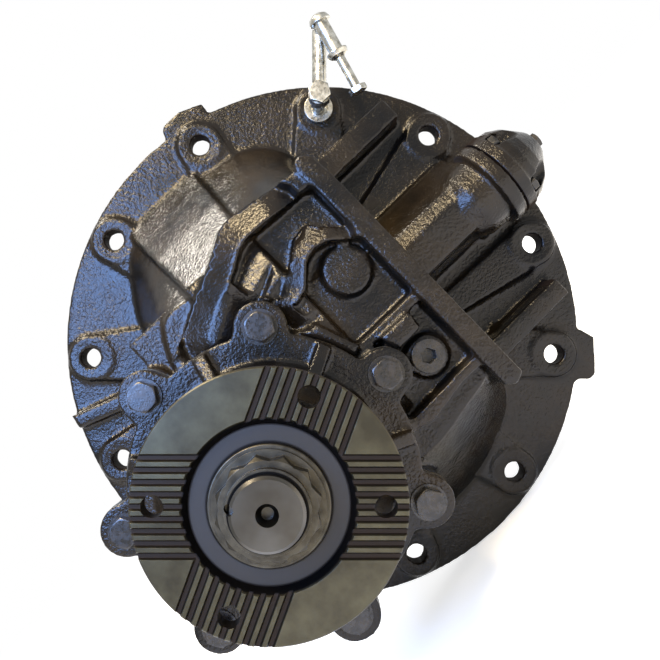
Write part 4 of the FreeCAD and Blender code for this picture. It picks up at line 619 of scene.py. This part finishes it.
def photo_camera():
    """The photograph's camera, and the directions that are right and up in its picture."""
    roll = math.radians(CAMERA_ROLL_DEG)
    right = Vector((math.cos(roll), 0, -math.sin(roll)))
    up = Vector((math.sin(roll), 0, math.cos(roll)))
    back = Vector((0, -1, 0))
    data = bpy.data.cameras.new("photo_camera")
    data.sensor_width = SENSOR_MM
    data.lens = SENSOR_MM * FOCAL_PX / PHOTO_PX
    data.shift_x = (PHOTO_PX / 2 - VIEW_CENTRE_PX[0]) / PHOTO_PX
    data.shift_y = (VIEW_CENTRE_PX[1] - PHOTO_PX / 2) / PHOTO_PX
    data.clip_start = NEAREST_SEEN_MM * MM
    camera = bpy.data.objects.new("photo_camera", data)
    place = Matrix((right, up, back)).transposed().to_4x4()
    place.translation = Vector(CAMERA_AT_MM) * MM
    camera.matrix_world = place
    bpy.context.collection.objects.link(camera)
    bpy.context.scene.camera = camera
    return right, up


def soft_lamp(name, at, aim, size, watts, colour):
    data = bpy.data.lights.new(name, "AREA")
    data.shape = "RECTANGLE"
    data.size, data.size_y = size
    data.energy = watts
    data.color = linear(colour)[:3]
    lamp = bpy.data.objects.new(name, data)
    lamp.location = at
    lamp.visible_camera = False
    lamp.rotation_euler = (aim - at).to_track_quat("-Z", "Y").to_euler()
    bpy.context.collection.objects.link(lamp)


def light_the_set(right, up):
    """The room round the photograph: ceiling lamps, a window at the left, and light from behind.

    Each lamp stands where the glossy black casting mirrors it as the photograph shows.
    """
    middle = Vector((0, -0.1, 0))
    front = Vector((0, -1, 0))
    hump = Vector(HUMP_MM) * MM
    # name, place, aim, width and height in metres, watts, colour
    lamps = [
        ("roof_lights", hump + Vector((0, 0.27, 1.77)), hump, (0.3, 0.2), 24, "#fff8ec"),
        ("ceiling", middle + Vector((0.13, -1.05, 1.2)), middle, (0.36, 0.36), 36, "#ffe4b4"),
        ("ceiling_near", front * 1.4 - right * 0.32 + up * 0.56, middle, (0.12, 0.12), 3, "#ffe4b4"),
        ("ceiling_far", front * 0.25 - right * 1.05 + up * 1.3, middle, (0.3, 0.3), 18, "#ffeccc"),
        ("window", front * 0.82 - right * 0.48 + up * 0.08, middle - right * 0.3, (0.38, 0.5), 18,
         "#8cb6ff"),
        ("far_lamps", up * 1.0 + right * 1.6 + front * 0.5, middle, (0.5, 0.5), 3.5, "#ffe8c4"),
        ("behind", up * 0.6 - front * 1.8, middle, (0.8, 0.8), 14, "#ffffff")]
    for name, at, aim, size, watts, colour in lamps:
        soft_lamp(name, at, aim, size, watts, colour)


def seen_directly(tree):
    """1 for the rays that show the surroundings: camera, reflection and transmission."""
    rays = add(tree, "LightPath")
    seen = add(tree, "Math", {"operation": "MAXIMUM"}, Value=(rays, "Is Camera Ray"))
    tree.links.new(rays.outputs["Is Glossy Ray"], seen.inputs[1])
    both = add(tree, "Math", {"operation": "MAXIMUM"}, Value=seen)
    tree.links.new(rays.outputs["Is Transmission Ray"], both.inputs[1])
    return both


def white_surroundings():
    """White where it is seen or mirrored, and a softer fill light on the object."""
    world = bpy.data.worlds.new("surroundings")
    world.use_nodes = True
    tree = world.node_tree
    tree.nodes.clear()
    dim = add(tree, "Background", Color=linear("#e8e9ea"), Strength=WORLD_FILL)
    white = add(tree, "Background", Color=(1, 1, 1, 1), Strength=1.0)
    mix = add(tree, "MixShader", Fac=seen_directly(tree), Shader=dim)
    tree.links.new(white.outputs[0], mix.inputs[2])
    add(tree, "OutputWorld", Surface=mix)
    bpy.context.scene.world = world
    bpy.context.scene.view_settings.view_transform = "Standard"


def pale_floor():
    """A white floor under the lowest point, lifted to white where it is seen, with the shadow kept."""
    low = cad_box[0][2]
    mesh = bpy.data.meshes.new("floor")
    sides = [(-1, -1), (1, -1), (1, 1), (-1, 1)]
    corners = [(x * FLOOR_REACH_M, y * FLOOR_REACH_M, low) for x, y in sides]
    mesh.from_pydata(corners, [], [(0, 1, 2, 3)])
    floor = bpy.data.objects.new("floor", mesh)
    bpy.context.collection.objects.link(floor)
    material, tree, place = new_material("white_floor_paint")
    rolled = add(tree, "TexNoise", Vector=place, Scale=1 / 4.0, Detail=2.0)
    stipple = add(tree, "Bump", Strength=0.05, Distance=0.1 * MM, Height=rolled)
    paint = add(tree, "BsdfDiffuse", Color=linear("#f0f0f0"), Normal=stipple)
    glow = add(tree, "Emission", Color=(1, 1, 1, 1), Strength=FLOOR_LIFT)
    lifted = add(tree, "AddShader", Shader=paint)
    tree.links.new(glow.outputs[0], lifted.inputs[1])
    mix = add(tree, "MixShader", Fac=seen_directly(tree), Shader=paint)
    tree.links.new(lifted.outputs[0], mix.inputs[2])
    mesh.materials.append(finish_material(material, tree, mix))


BODY_OF = node_bodies()
FINISH_OF = dress_nodes()
make_pieces()
photo_right, photo_up = photo_camera()
light_the_set(photo_right, photo_up)
white_surroundings()
pale_floor()
